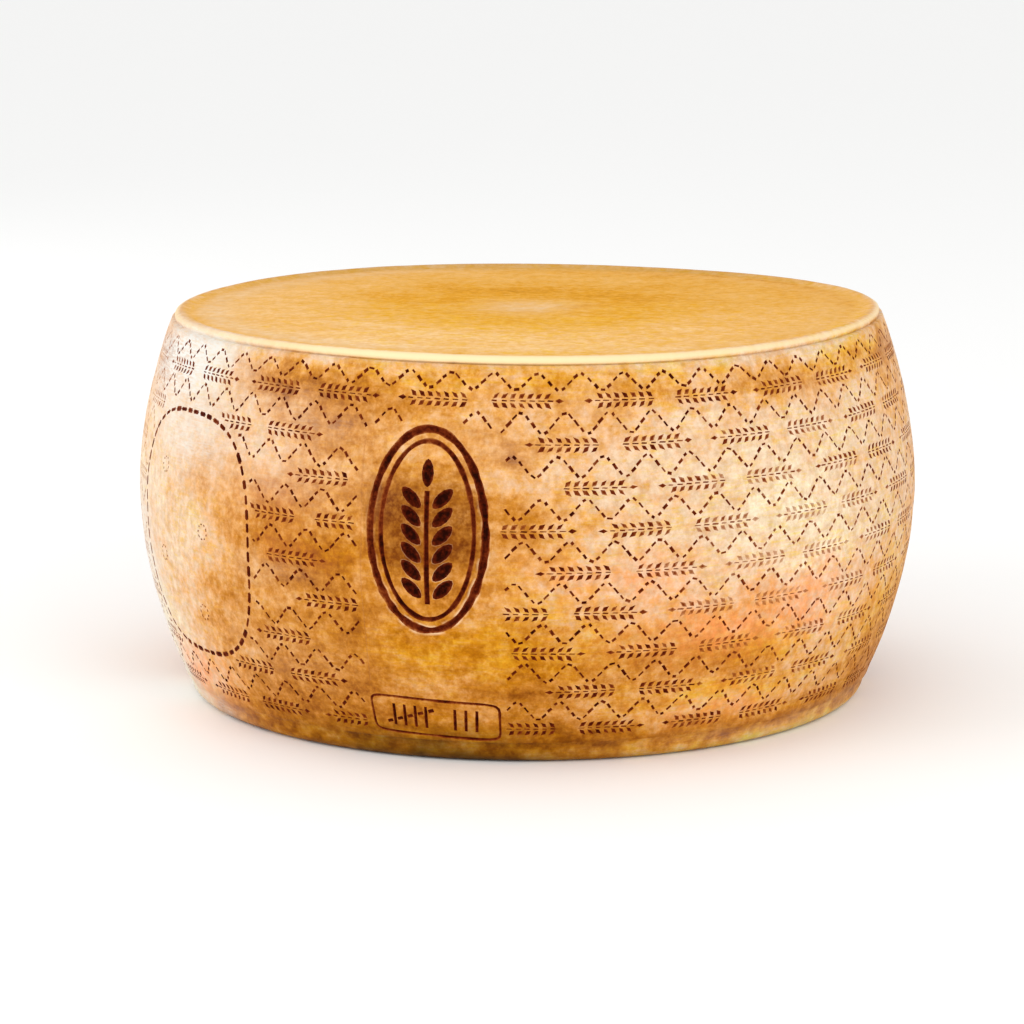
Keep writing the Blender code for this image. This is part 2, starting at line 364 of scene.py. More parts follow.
@dataclass
class Sheet:
    """The points and cells that the unrolled side is triangulated from.

    A cell is a face whose outline the triangles keep. Inside a pit cell a corner takes its
    point's ink; everywhere else it takes none.
    """

    points: list[np.ndarray] = field(default_factory=list)
    lifts: list[np.ndarray] = field(default_factory=list)
    inks: list[np.ndarray] = field(default_factory=list)
    burrs: list[np.ndarray] = field(default_factory=list)
    cells: list[list[int]] = field(default_factory=list)
    pit_cells: list[bool] = field(default_factory=list)
    count: int = 0
    rim_ink: float = 0.74

    def add(
        self,
        points: np.ndarray,
        lift: np.ndarray | float = 0.0,
        ink: np.ndarray | float = 0.0,
        burr: np.ndarray | float = 0.0,
    ) -> int:
        """Add points and say where they start.

        Args:
            points: places on the plane, as (n, 2).
            lift: height off the side of each.
            ink: darkness of each inside a pit.
            burr: how much each is a pale raised edge.

        Returns:
            The first new point's number.
        """
        start = self.count
        self.points.append(np.asarray(points, dtype=float))
        for rows, value in ((self.lifts, lift), (self.inks, ink), (self.burrs, burr)):
            rows.append(np.broadcast_to(value, len(points)).astype(float))
        self.count += len(points)
        return start

    def add_cells(self, cells: np.ndarray, pit: bool) -> None:
        """Add faces given as rows of point numbers."""
        self.cells += cells.tolist()
        self.pit_cells += [pit] * len(cells)

    def add_strip(self, low: int, high: int, number: int, closed: bool, pit: bool) -> None:
        """Add the faces between two rows of points.

        Args:
            low: number of the first row's first point.
            high: number of the second row's first point.
            number: how many points each row has.
            closed: whether the rows return to their start.
            pit: whether the faces are part of a pit.
        """
        here = np.arange(number if closed else number - 1)
        ahead = (here + 1) % number
        self.add_cells(np.stack([low + here, low + ahead, high + ahead, high + here], 1), pit)

    def add_pricks(self, marks: Pricks) -> None:
        """Add small marks: a rim on the surface and a floor under it, both inked.

        Args:
            marks: the marks, all of one shape.
        """
        rim, floor = (marks.placed(points) for points in marks.shape.value)
        number, sides = rim.shape[:2]
        first = self.add(rim.reshape(-1, 2), ink=np.repeat(marks.ink * self.rim_ink, sides))
        self.add_cells(first + np.arange(number * sides).reshape(number, sides), True)
        depth, ink = (np.repeat(row, floor.shape[1]) for row in (-marks.depth, marks.ink))
        self.add(floor.reshape(-1, 2), depth, ink)


@dataclass(frozen=True)
class Iron:
    """The cross-section that a stroke leaves: half width, depth, ink and raised burr, in mm."""

    half_width: float
    depth: float
    ink: float
    burr: float = 0.0
    burr_width: float = 1.3
    floor_share: float = 0.45


@dataclass(frozen=True)
class Stroke:
    """A line pressed or burnt into the rind along a path on the plane.

    The iron bites unevenly: the line's width and darkness drift along it by the given share.
    """

    path: np.ndarray
    iron: Iron
    closed: bool = False
    uneven: float = 0.16
    seed: int = 5
    rim_ink: float = 0.6

    def add_to(self, sheet: Sheet) -> None:
        """Lay the stroke's rows beside its path: burr, rim, floor, floor, rim, burr.

        Each row is the path moved along its own normal, and the rows of an open stroke run out
        level at its ends.

        Args:
            sheet: the sheet that takes the points and cells.
        """
        path, iron, n = self.path, self.iron, len(self.path)
        if self.closed:
            ahead = np.roll(path, -1, 0) - np.roll(path, 1, 0)
        else:
            ahead = np.gradient(path, axis=0)
        ahead /= np.linalg.norm(ahead, axis=1)[:, None]
        normal = np.stack([-ahead[:, 1], ahead[:, 0]], 1)
        run_out = np.ones(n)
        if not self.closed:
            run_out[[0, -1]] = 0.0

        reach = np.arange(n) * float(np.linalg.norm(path[1] - path[0]))
        period = max(reach[-1], 20.0)
        layers = (Cloud(7.0, 1.0, 1.0, self.seed), Cloud(3.6, 1.0, 0.45, self.seed + 2))
        rough = heaped(layers, reach, path[:, 1], period)
        wide = iron.half_width * (1.0 + 0.7 * self.uneven * rough)
        faint = 1.0 - clouds(reach, path[:, 0], 8.0, period, self.seed + 1)
        dark = iron.ink * (1.0 - 0.6 * self.uneven * faint)

        floor, edge = wide * iron.floor_share, wide + iron.burr_width
        raised = 1.0 if iron.burr else 0.0
        rows = [(-wide, 0.0, self.rim_ink, raised), (-floor, -iron.depth, 1.0, 0.0)]
        rows += [(floor, -iron.depth, 1.0, 0.0), (wide, 0.0, self.rim_ink, raised)]
        if iron.burr:
            rows = [(-edge, iron.burr, 0.0, 0.0), *rows, (edge, iron.burr, 0.0, 0.0)]
        starts = [
            sheet.add(path + normal * out[:, None], lift * run_out, ink * dark, burr * run_out)
            for out, lift, ink, burr in rows
        ]
        for row, (low, high) in enumerate(zip(starts, starts[1:])):
            sheet.add_strip(low, high, n, self.closed, not iron.burr or 0 < row < 4)


@dataclass(frozen=True)
class BurntGrain:
    """One almond-shaped grain burnt into the rind."""

    centre: tuple[float, float]
    length: float
    width: float
    lean: float
    iron: Iron
    sides: int = 12
    fullness: float = 0.62
    tip_growth: float = 1.4

    def ring(self, grow: float, share: float) -> np.ndarray:
        """Almond outline: width falls off as a power of 4s(1-s) along the grain.

        Args:
            grow: added to each half size.
            share: scale of the outline.

        Returns:
            Points as (sides, 2).
        """
        a = math.tau * np.arange(self.sides) / self.sides
        s = 0.5 - 0.5 * np.cos(a)
        half_width = (0.5 * self.width + grow) * (4.0 * s * (1.0 - s) + 1e-9) ** self.fullness
        x = (2.0 * s - 1.0) * (0.5 * self.length + self.tip_growth * grow) * share
        y = -np.sign(np.sin(a)) * half_width * share
        y[[0, self.sides // 2]] = 0.0
        c, q = math.cos(self.lean), math.sin(self.lean)
        return np.array(self.centre) + np.stack([x * c - y * q, x * q + y * c], 1)

    def add_to(self, sheet: Sheet) -> None:
        """Lay the grain's rings: burr, rim, floor, and a middle point.

        Args:
            sheet: the sheet that takes the points and cells.
        """
        iron, n = self.iron, self.sides
        rings = (
            (self.ring(iron.burr_width, 1.0), iron.burr, 0.0, 0.0),
            (self.ring(0.0, 1.0), 0.0, 0.75 * iron.ink, 1.0),
            (self.ring(0.0, iron.floor_share), -iron.depth, iron.ink, 0.0),
        )
        burr, rim, floor = [sheet.add(*ring) for ring in rings]
        sheet.add_strip(burr, rim, n, True, False)
        sheet.add_strip(rim, floor, n, True, True)
        sheet.add_cells(floor + np.arange(n)[None, :], True)
        sheet.add(np.array([self.centre]), -0.7 * iron.depth, 0.9 * iron.ink)


def closed_path(outline: np.ndarray) -> np.ndarray:
    """An outline with its first point again at its end."""
    return np.concatenate([outline, outline[:1]])


def reach_along(path: np.ndarray) -> np.ndarray:
    """Length along a path up to each of its points."""
    return np.concatenate([[0.0], np.cumsum(np.linalg.norm(np.diff(path, axis=0), axis=1))])


def points_at(path: np.ndarray, reach: np.ndarray, at: np.ndarray) -> np.ndarray:
    """Points of a path at given lengths along it, as (n, 2)."""
    return np.stack([np.interp(at, reach, path[:, axis]) for axis in (0, 1)], 1)


def walked(outline: np.ndarray, count: int) -> np.ndarray:
    """Walk a closed outline in even steps.

    Args:
        outline: its points as (n, 2).
        count: how many steps.

    Returns:
        Points as (count, 2).
    """
    path = closed_path(outline)
    reach = reach_along(path)
    return points_at(path, reach, np.linspace(0.0, reach[-1], count, endpoint=False))


def oval(half_width: float, half_tall: float, power: float = 2.0) -> np.ndarray:
    """Closed oval |x/a|^p + |y/b|^p = 1; a power over 2 squares it off.

    Args:
        half_width: half its width, a.
        half_tall: half its height, b.
        power: its power, p.

    Returns:
        Points as (720, 2).
    """
    a = np.linspace(0.0, math.tau, 721)[:-1]
    c, s = np.cos(a), np.sin(a)
    x = np.sign(c) * np.abs(c) ** (2.0 / power) * half_width
    y = np.sign(s) * np.abs(s) ** (2.0 / power) * half_tall
    return np.stack([x, y], 1)


def within_oval(
    offsets: np.ndarray, half_width: float, half_tall: float, power: float = 2.0
) -> np.ndarray:
    """Whether places, given from the middle of such an oval, lie inside it."""
    x, y = np.abs(offsets.T)
    return (x / half_width) ** power + (y / half_tall) ** power < 1.0


@dataclass(frozen=True)
class Stitching:
    """Dashes laid end to end along a path, each a little longer, wider or darker than the next."""

    dash: float
    gap: float
    half_width: float
    depth: float
    ink: float
    shape: PrickShape = PrickShape.STITCH
    least_gap: float = 0.32

    def along(self, path: np.ndarray, rng: np.random.Generator) -> Pricks:
        """Lay the dashes; one is shortened where the path bends, so that neighbours stay apart.

        Args:
            path: points as (n, 2).
            rng: source of the unevenness.

        Returns:
            The dashes.
        """
        reach = reach_along(path)
        number = max(1, int(reach[-1] / (self.dash + self.gap)))
        pitch = reach[-1] / number
        at = (np.arange(number) + 0.5 + rng.uniform(-0.06, 0.06, number)) * pitch
        half = 0.5 * self.dash * rng.uniform(0.82, 1.12, number)
        half = np.minimum(half, 0.5 * (pitch - self.least_gap))
        tail, tip = points_at(path, reach, at - half), points_at(path, reach, at + half)
        wide = self.half_width * rng.uniform(0.72, 1.3, number)
        lean = np.arctan2(*(tip - tail).T[::-1])
        bend = np.abs((np.diff(lean) + math.pi) % math.tau - math.pi)
        bend = np.maximum(np.append(bend, 0.0), np.append(0.0, bend))
        return Pricks(
            self.shape,
            0.5 * (tail + tip),
            lean,
            np.maximum(half - 0.5 * wide * bend, 0.5 * half),
            wide,
            self.depth * rng.uniform(0.8, 1.15, number),
            self.ink * rng.uniform(0.72, 1.0, number),
        )


@dataclass(frozen=True)
class BurntMark:
    """The oval mark burnt in with a hot iron: two rings round an upright ear of grain."""

    angle: float = 256.5
    up: float = 127.0
    half_width: float = 31.0
    half_tall: float = 52.0
    inset: float = 6.0
    uneven: float = 0.3
    stem_low: float = -38.0
    stem_high: float = 22.0
    pairs: int = 6
    pair_pitch: float = 9.4
    grain_length: float = 14.4
    grain_width: float = 6.6
    grain_lean: float = 44.0
    grain_offset: float = 8.4
    tip_gap: float = 0.8
    ring_iron: Iron = Iron(2.0, 0.9, 1.0, burr=0.35)
    fine_iron: Iron = Iron(1.4, 0.7, 0.97)
    grain_iron: Iron = Iron(1.0, 0.9, 1.0, burr=0.2, burr_width=0.45)
    clear: float = 8.6

    @property
    def centre(self) -> np.ndarray:
        """Middle of the mark on the plane."""
        return np.array([FORM.along(self.angle), self.up])

    def add_to(self, sheet: Sheet) -> None:
        """Lay the rings, the stem and the grains.

        Args:
            sheet: the sheet that takes them.
        """
        rings = ((0.0, 170, self.ring_iron, 5), (self.inset, 150, self.fine_iron, 9))
        for inset, count, iron, seed in rings:
            ring = self.centre + walked(oval(self.half_width - inset, self.half_tall - inset), count)
            Stroke(ring, iron, closed=True, uneven=self.uneven, seed=seed).add_to(sheet)
        rise = np.linspace(self.stem_low, self.stem_high - 1.0, 40)
        Stroke(self.centre + np.stack([0.0 * rise, rise], 1), self.fine_iron).add_to(sheet)
        for pair in range(self.pairs):
            up = self.stem_high - self.pair_pitch * (pair + 0.5)
            for side in (-1, 1):
                lean = 90.0 - side * (90.0 - self.grain_lean)
                self.grain(side * self.grain_offset, up, lean, sheet)
        self.grain(0.0, self.stem_high + 0.5 * self.grain_length + self.tip_gap, 90.0, sheet)

    def grain(self, across: float, up: float, lean: float, sheet: Sheet) -> None:
        """Lay one grain of the ear.

        Args:
            across: its centre's distance from the stem.
            up: its centre's height over the mark's middle.
            lean: direction of its tip, in degrees.
            sheet: the sheet that takes it.
        """
        place = tuple(self.centre + np.array([across, up]))
        size = (self.grain_length, self.grain_width)
        BurntGrain(place, *size, math.radians(lean), self.grain_iron).add_to(sheet)

    def covers(self, points: np.ndarray) -> np.ndarray:
        """Whether points lie within the mark and its clear margin."""
        wide, tall = self.half_width + self.clear, self.half_tall + self.clear
        return within_oval(points - self.centre, wide, tall)


@dataclass(frozen=True)
class TallyBox:
    """The framed box of counting strokes under the burnt mark."""

    angle: float = 256.3
    up: float = 24.8
    width: float = 75.0
    tall: float = 21.0
    squareness: float = 9.0
    skew: float = -0.035
    lean: float = 0.06
    stroke_tall: float = 12.6
    stroke_pitch: float = 6.3
    groups: tuple[int, ...] = (4, 3)
    group_gap: float = 17.0
    gate_gap: float = 0.55
    iron: Iron = Iron(0.98, 0.6, 0.92)
    frame_iron: Iron = Iron(0.8, 0.5, 0.85)
    clear: tuple[float, float] = (5.0, 4.5)

    @property
    def centre(self) -> np.ndarray:
        """Middle of the box on the plane."""
        return np.array([FORM.along(self.angle), self.up])

    def placed(self, x: np.ndarray, y: np.ndarray) -> np.ndarray:
        """Points of the box, given from its middle and leaning with it."""
        return self.centre + np.stack([x, y + self.skew * x], 1)

    def add_to(self, sheet: Sheet) -> None:
        """Lay the frame and the strokes; the first group's strokes are struck through.

        Args:
            sheet: the sheet that takes them.
        """
        outline = walked(oval(0.5 * self.width, 0.5 * self.tall, self.squareness), 110)
        Stroke(self.placed(*outline.T), self.frame_iron, closed=True, uneven=0.3).add_to(sheet)
        pitches = sum(self.groups) - len(self.groups)
        across = -0.5 * (self.stroke_pitch * pitches + self.group_gap)
        rise = np.linspace(-0.5, 0.5, 7) * self.stroke_tall
        for number, group in enumerate(self.groups):
            at = across + self.stroke_pitch * np.arange(group)
            for x in at:
                Stroke(self.placed(x + self.lean * rise, rise), self.iron).add_to(sheet)
            if number == 0:
                self.gate(at, sheet)
            across = at[-1] + self.group_gap

    def gate(self, at: np.ndarray, sheet: Sheet) -> None:
        """Lay the stroke through a group, in lengths that stop just short of each upright.

        Args:
            at: the uprights' distances from the box's middle.
            sheet: the sheet that takes it.
        """
        slope = 0.7 * self.stroke_tall / (at[-1] - at[0] + 1.2 * self.stroke_pitch)
        stops = np.concatenate([[at[0] - self.stroke_pitch], at, [at[-1] + self.stroke_pitch]])
        short = self.iron.half_width + self.gate_gap
        for low, high in zip(stops, stops[1:]):
            x = np.linspace(low + short, high - short, 3)
            y = slope * (x - 0.5 * (at[0] + at[-1]))
            Stroke(self.placed(x + self.lean * y, y), self.iron).add_to(sheet)

    def covers(self, points: np.ndarray) -> np.ndarray:
        """Whether points lie within the box and its clear margin."""
        x, y = np.abs((points - self.centre).T)
        return (x < 0.5 * self.width + self.clear[0]) & (y < 0.5 * self.tall + self.clear[1])


@dataclass(frozen=True)
class StitchedPanel:
    """The big squared-circle outline of long stitches, with a few small rings inside."""

    angle: float = 211.5
    up: float = 107.0
    half_width: float = 62.0
    half_tall: float = 66.0
    squareness: float = 2.8
    outline: Stitching = Stitching(6.6, 1.0, 1.15, 0.6, 0.95, PrickShape.DASH)
    ring: Stitching = Stitching(2.0, 0.9, 0.56, 0.4, 0.75)
    ring_radius: float = 4.2
    ring_places: tuple[tuple[float, float], ...] = ((-26, 34), (22, 4), (-30, -16), (14, -42))
    clear: float = 4.0

    @property
    def centre(self) -> np.ndarray:
        """Middle of the panel on the plane."""
        return np.array([FORM.along(self.angle), self.up])

    def pricks(self, rng: np.random.Generator) -> list[Pricks]:
        """Stitch the outline and the small rings.

        Args:
            rng: source of the unevenness.

        Returns:
            The stitches of each, in a list.
        """
        path = closed_path(oval(self.half_width, self.half_tall, self.squareness))
        small = closed_path(oval(self.ring_radius, self.ring_radius))
        made = [self.outline.along(self.centre + path, rng)]
        return made + [self.ring.along(self.centre + place + small, rng) for place in self.ring_places]

    def covers(self, points: np.ndarray) -> np.ndarray:
        """Whether points lie within the panel and its clear margin."""
        wide, tall = self.half_width + self.clear, self.half_tall + self.clear
        return within_oval(points - self.centre, wide, tall, self.squareness)


@dataclass(frozen=True)
class BandPrint:
    """The mould band's print all round the side: rows of sprigs between stitched zigzags.

    A zigzag's height is asin(k sin t) / asin(k), with k the peak: it runs straight, and turns
    round softly.
    """

    top_row: float = 194.0
    row_pitch: float = 21.75
    rows: int = 9
    sprigs_round: int = 27
    row_drift: float = 0.37
    sprig_length: float = 40.0
    stem: Stitching = Stitching(3.6, 1.1, 0.42, 0.42, 0.9)
    stem_short: float = 4.6
    grain_pairs: int = 7
    first_grain: float = 3.4
    last_grain: float = 2.2
    grain_offset: float = 2.4
    grain_lean: float = 0.68
    grain_size: tuple[float, float, float] = (2.5, 1.24, 0.42)
    zigzag: Stitching = Stitching(3.9, 0.75, 0.84, 0.6, 1.0)
    wave_round: int = 58
    wave_peak: float = 0.96
    wave_half_tall: float = 5.8
    wave_sway: float = 0.15
    top_wave_share: float = 0.8
    top_wave_drop: float = 1.6
    clear_seam: float = 4.0

    def row_height(self, row: int) -> float:
        """Height of a row of sprigs."""
        return self.top_row - self.row_pitch * row

    def sprig(self, rng: np.random.Generator) -> tuple[Pricks, Pricks]:
        """One sprig lying along the plane, round the origin: pairs of grains and one at the tip.

        Args:
            rng: source of the unevenness.

        Returns:
            Its stem's dashes and its grains.
        """
        half, n = 0.5 * self.sprig_length, self.grain_pairs
        stem = self.stem.along(np.array([[-half, 0.0], [half - self.stem_short, 0.0]]), rng)
        pitch = (self.sprig_length - self.first_grain - 4.0) / n
        x = -half + self.first_grain + pitch * np.arange(n)
        x = np.concatenate([x, x, [half - self.last_grain]])
        side = np.concatenate([np.full(n, 1.0), np.full(n, -1.0), [0.0]])
        length, width, depth = self.grain_size
        grains = Pricks(
            PrickShape.GRAIN,
            np.stack([x, self.grain_offset * side], 1),
            self.grain_lean * side + rng.uniform(-0.08, 0.08, len(x)),
            length * rng.uniform(0.88, 1.05, len(x)),
            width * rng.uniform(0.8, 1.12, len(x)),
            depth * rng.uniform(0.8, 1.2, len(x)),
            rng.uniform(0.7, 1.0, len(x)),
        )
        return stem, grains

    def sprig_rows(
        self, rng: np.random.Generator, taken: Callable[[np.ndarray], np.ndarray]
    ) -> tuple[list[Pricks], list[Pricks]]:
        """All rows of sprigs, every other sprig turned about.

        Args:
            rng: source of the unevenness.
            taken: function that says which places a feature covers; a sprig is left out where
                most of it would be covered.

        Returns:
            Stems and grains, as two lists.
        """
        made = ([], [])
        pitch = FORM.length / self.sprigs_round
        for row in range(self.rows):
            up = self.row_height(row)
            for place in range(self.sprigs_round):
                along = (place + 0.5 + self.row_drift * row) % self.sprigs_round * pitch
                facing = 1.0 if (place + row) % 2 else -1.0
                tilt = rng.uniform(-0.012, 0.012)
                sprig = self.sprig(rng)
                ends = along + np.array([-0.36, 0.0, 0.36]) * self.sprig_length
                if taken(np.stack([ends, np.full(3, up)], 1)).sum() > 1:
                    continue
                for group, marks in zip(made, sprig):
                    group.append(self.set_down(marks, along, up, facing, tilt))
        return made

    @staticmethod
    def set_down(marks: Pricks, along: float, up: float, facing: float, tilt: float) -> Pricks:
        """Put marks made round the origin in their place.

        Args:
            marks: the marks.
            along: place round the wheel.
            up: height.
            facing: 1 or -1, the way the sprig's tip points.
            tilt: small turn in radians.

        Returns:
            The same marks, moved.
        """
        x, y = marks.centre[:, 0] * facing, marks.centre[:, 1]
        lean = marks.lean if facing > 0.0 else math.pi - marks.lean
        marks.centre = np.stack([along + x - tilt * y, up + y + tilt * x], 1)
        marks.lean = lean + tilt
        return marks

    def waves(self, rng: np.random.Generator) -> list[Pricks]:
        """Stitched zigzags between the rows, and a shallow one over the top row.

        Args:
            rng: source of the unevenness.

        Returns:
            The dashes of each zigzag.
        """
        made = []
        along = np.linspace(self.clear_seam, FORM.length - self.clear_seam, 6000)
        turn = along / FORM.length * math.tau
        for line in range(self.rows):
            half = self.wave_half_tall * (1.0 if line else self.top_wave_share)
            drop = 0.0 if line else self.top_wave_drop
            phase = self.wave_round * turn + 2.0 * line + 0.5 * math.sin(2.1 * line)
            rise = np.arcsin(self.wave_peak * np.sin(phase)) / math.asin(self.wave_peak)
            rise = self.row_height(line) + 0.5 * self.row_pitch + half * rise - drop
            rise = rise + self.wave_sway * np.sin(3.0 * turn + line)
            made.append(self.zigzag.along(np.stack([along, rise], 1), rng))
        return made


@dataclass(frozen=True)
class BandSeam:
    """The faint upright line that the mould band's end leaves beside the burnt mark."""

    beside: float = 36.4
    low: float = 44.0
    high: float = 175.0
    sway: float = 0.3
    sway_length: float = 9.0
    iron: Iron = Iron(0.45, 0.2, 0.14)

    def add_to(self, sheet: Sheet, mark: BurntMark) -> None:
        """Lay the line left of the mark.

        Args:
            sheet: the sheet that takes it.
            mark: the burnt mark.
        """
        rise = np.linspace(self.low, self.high, 60)
        across = mark.centre[0] - self.beside + self.sway * np.sin(rise / self.sway_length)
        Stroke(np.stack([across, rise], 1), self.iron).add_to(sheet)


# ---------------------------------------------------------------------------------------------
# Tones of the rind
# ---------------------------------------------------------------------------------------------


@dataclass(frozen=True)
class Patch:
    """A soft-edged oval patch on the side: where it is, how wide and tall, and how strong."""

    angle: float
    up: float
    half_angle: float
    half_tall: float
    strength: float

    def weight(self, turn: np.ndarray, up: np.ndarray) -> np.ndarray:
        """Strength of the patch at each point: a hump round its angle times one round its height."""
        swung = angle_hump(turn, self.angle, self.half_angle)
        return self.strength * swung * hump(up, self.up, self.half_tall)


@dataclass(frozen=True)
class Sector:
    """A soft-edged stretch of the wheel's round: middle and half width in degrees, and strength."""

    angle: float
    half_angle: float
    strength: float = 1.0
    power: float = 2.0

    def weight(self, turn: np.ndarray) -> np.ndarray:
        """Strength of the sector at each angle in radians."""
        return self.strength * angle_hump(turn, self.angle, self.half_angle, self.power)


def patches(*rows: tuple[float, float, float, float, float]) -> tuple[Patch, ...]:
    """Patches from rows of angle, height, half angle, half height and strength."""
    return tuple(Patch(*row) for row in rows)


@dataclass(frozen=True)
class RindTones:
    """Slow tones of the rind: toast darkens, honey yellows, blush reddens and bloom whitens.

    The whitening tone is a whitish film with the painted glare of the light at the left on it. Shade
    is painted shade, low on the side, at the foot and round the lip, with smudges of grime at the
    foot. Each tone runs from 0 to 1.
    """

    # Angle in degrees, height, half angle, half height and strength. The patches that lighten the far
    # left, from 189 to 216 degrees, are partly painted glare of the light at the left.
    toast_patches: tuple[Patch, ...] = patches(
        (229, 197, 9, 10, 0.32), (215, 192, 7, 9, -0.19), (195, 130, 8, 14, -0.16),
        (205, 141, 7, 9, -0.12), (196, 190, 8, 14, 0.55), (203, 46, 11, 34, -0.52),
        (189, 30, 8, 40, -0.55), (194, 8, 9, 12, -0.42), (216, 203, 7, 11, -0.42),
        (214, 140, 8, 20, 0.24), (212, 110, 8, 28, -0.14), (226, 130, 8, 20, 0.17),
        (227, 75, 10, 22, 0.10), (228, 20, 16, 18, 0.14), (216, 30, 8, 16, -0.13),
        (241, 165, 10, 30, 0.38), (238, 160, 9, 9, -0.13), (247, 140, 5, 12, 0.14),
        (261, 201, 9, 6, -0.10), (265, 209, 11, 4, 0.20), (268, 80, 5, 10, 0.10), (250, 27, 9, 6, 0.09),
        (281, 27, 5, 6, -0.07), (268, 122, 5, 10, 0.08), (280, 183, 7, 13, 0.16),
        (215, 25, 6, 7, -0.10), (242, 188, 9, 12, 0.13), (238, 114, 13, 24, 0.51),
        (258, 192, 14, 14, 0.15), (245, 72, 6, 14, 0.20), (245, 42, 5, 10, 0.13),
        (264, 164, 8, 10, 0.13), (268, 172, 6, 14, 0.32), (262, 100, 10, 10, 0.14),
        (270, 126, 7, 26, 0.30), (276, 112, 7, 7, 0.14), (269, 42, 6, 8, 0.35), (257, 42, 7, 9, -0.10),
        (276, 14, 10, 9, 0.18), (292, 26, 7, 8, -0.09), (281, 80, 6, 8, -0.10),
        (308, 138, 15, 34, -0.21), (311, 191, 12, 7, 0.18), (304, 100, 8, 8, -0.15),
        (316, 102, 7, 7, -0.12), (328, 82, 7, 9, -0.10), (305, 41, 7, 7, 0.09), (310, 25, 12, 6, 0.07),
        (332, 208, 12, 6, -0.14), (316, 13.5, 24, 2.4, 0.15), (316, 200, 7, 7, 0.13),
        (294, 59, 13, 7, 0.13), (320, 56, 11, 14, -0.08), (305, 30, 17, 12, -0.28),
        (320, 60, 10, 24, -0.26), (322, 104, 16, 15, -0.10), (338, 30, 10, 14, 0.10),
        (344, 188, 10, 28, 0.26), (0, 120, 14, 40, 0.12), (20, 60, 26, 40, 0.10),
        (50, 196, 18, 12, 0.12), (75, 150, 30, 40, 0.14), (110, 40, 20, 20, -0.20),
        (130, 90, 30, 40, 0.16), (160, 186, 16, 16, 0.20), (245, 177, 6, 8, 0.11),
        (225, 190, 6, 7, 0.07), (225, 118, 6, 10, 0.07), (215, 80, 7, 10, 0.06), (226, 41, 7, 8, -0.08),
        (235, 40, 6, 8, -0.04), (280, 42, 5, 8, -0.09), (280, 190, 6, 7, 0.04), (304, 190, 6, 7, 0.06),
        (298, 208, 9, 4, 0.05), (316, 209, 8, 4, -0.10),
    )
    honey_patches: tuple[Patch, ...] = patches(
        (240, 112, 8, 8, 1.00), (254, 18, 20, 12, 0.37), (190, 16, 14, 30, -0.80),
        (325, 12, 26, 14, 0.35), (262, 62, 20, 16, 0.99), (303, 56, 10, 10, 0.99),
        (300, 34, 16, 8, 1.00), (333, 203, 16, 7, 0.85), (270, 90, 8, 22, 0.30),
        (272, 206, 26, 8, 0.58), (247, 140, 6, 12, 0.35), (324, 52, 10, 16, 0.20),
        (340, 44, 10, 34, 0.83), (344, 120, 8, 40, 0.16), (10, 60, 30, 40, 0.60),
        (80, 110, 30, 40, 0.40), (150, 50, 26, 30, 0.50), (298, 208, 10, 4, 0.30),
        (339, 200, 6, 7, 0.30), (328, 60, 8, 9, 0.15),
    )
    blush_patches: tuple[Patch, ...] = patches(
        (207, 24, 9, 16, 0.50), (232, 150, 9, 26, 0.12), (238, 112, 8, 8, 0.11),
        (283, 104, 11, 12, 0.36), (306, 73, 18, 18, 0.48), (314, 94, 12, 14, 0.22),
        (300, 28, 12, 10, 0.30), (30, 110, 30, 40, 0.30), (120, 60, 30, 30, 0.30),
        (316, 60, 8, 8, 0.08),
    )
    # A whitish film; the patches at the far left, from 190 to 216 degrees, are painted glare of the
    # light at the left, and the low one at 319 degrees is painted light from the floor.
    bloom_and_glare_patches: tuple[Patch, ...] = patches(
        (190, 20, 11, 40, 0.95), (190, 90, 9, 36, 0.90), (198, 194, 16, 28, 0.90),
        (210, 202, 10, 14, 0.60), (212, 160, 10, 20, 0.64), (207, 5, 9, 9, 0.48), (319, 6, 24, 6, 0.17),
        (233, 150, 9, 16, 0.14), (230, 98, 8, 8, 0.08), (232, 52, 12, 18, 0.05),
        (230, 178, 12, 14, 0.18), (240, 150, 10, 14, 0.06), (20, 200, 30, 12, 0.25),
        (110, 196, 24, 16, 0.45), (150, 120, 24, 30, 0.35), (268, 168, 6, 12, 0.09),
        (280, 190, 6, 8, 0.08), (316, 190, 8, 8, 0.09), (215, 204, 7, 7, 0.10), (245, 176, 6, 7, 0.05),
    )
    toast_clouds: tuple[Cloud, ...] = (
        Cloud(46.0, 1.7, 0.04, 11),
        Cloud(21.0, 2.0, 0.05, 12),
        Cloud(10.5, 1.6, 0.09, 13),
    )
    honey_clouds: tuple[Cloud, ...] = (
        Cloud(27.0, 1.5, 0.10, 16),
        Cloud(11.0, 1.7, 0.20, 17),
        Cloud(6.5, 1.5, 0.12, 30),
    )
    blush_clouds: tuple[Cloud, ...] = (Cloud(17.0, 1.0, 0.4, 14),)
    bloom_and_glare_clouds: tuple[Cloud, ...] = (Cloud(14.0, 3.0, 0.3, 15),)
    smudges: tuple[Cloud, ...] = (Cloud(13.0, 2.6, 1.2, 24), Cloud(5.0, 1.6, 0.5, 25))
    sideways: tuple[Cloud, ...] = (Cloud(16.0, 1.0, 5.0, 18), Cloud(6.0, 1.0, 2.2, 19))
    upwards: tuple[Cloud, ...] = (Cloud(16.0, 1.0, 4.0, 20), Cloud(6.0, 1.0, 2.0, 23))
    top_clouds: tuple[Cloud, ...] = (Cloud(42.0, 1.8, 0.05, 21), Cloud(17.0, 2.2, 0.05, 22))
    top_period: float = 200.0 * math.tau
    amber_ring: tuple[float, float] = (57.0, 46.0)
    pale_middle: tuple[float, float] = (0.0, 26.0)
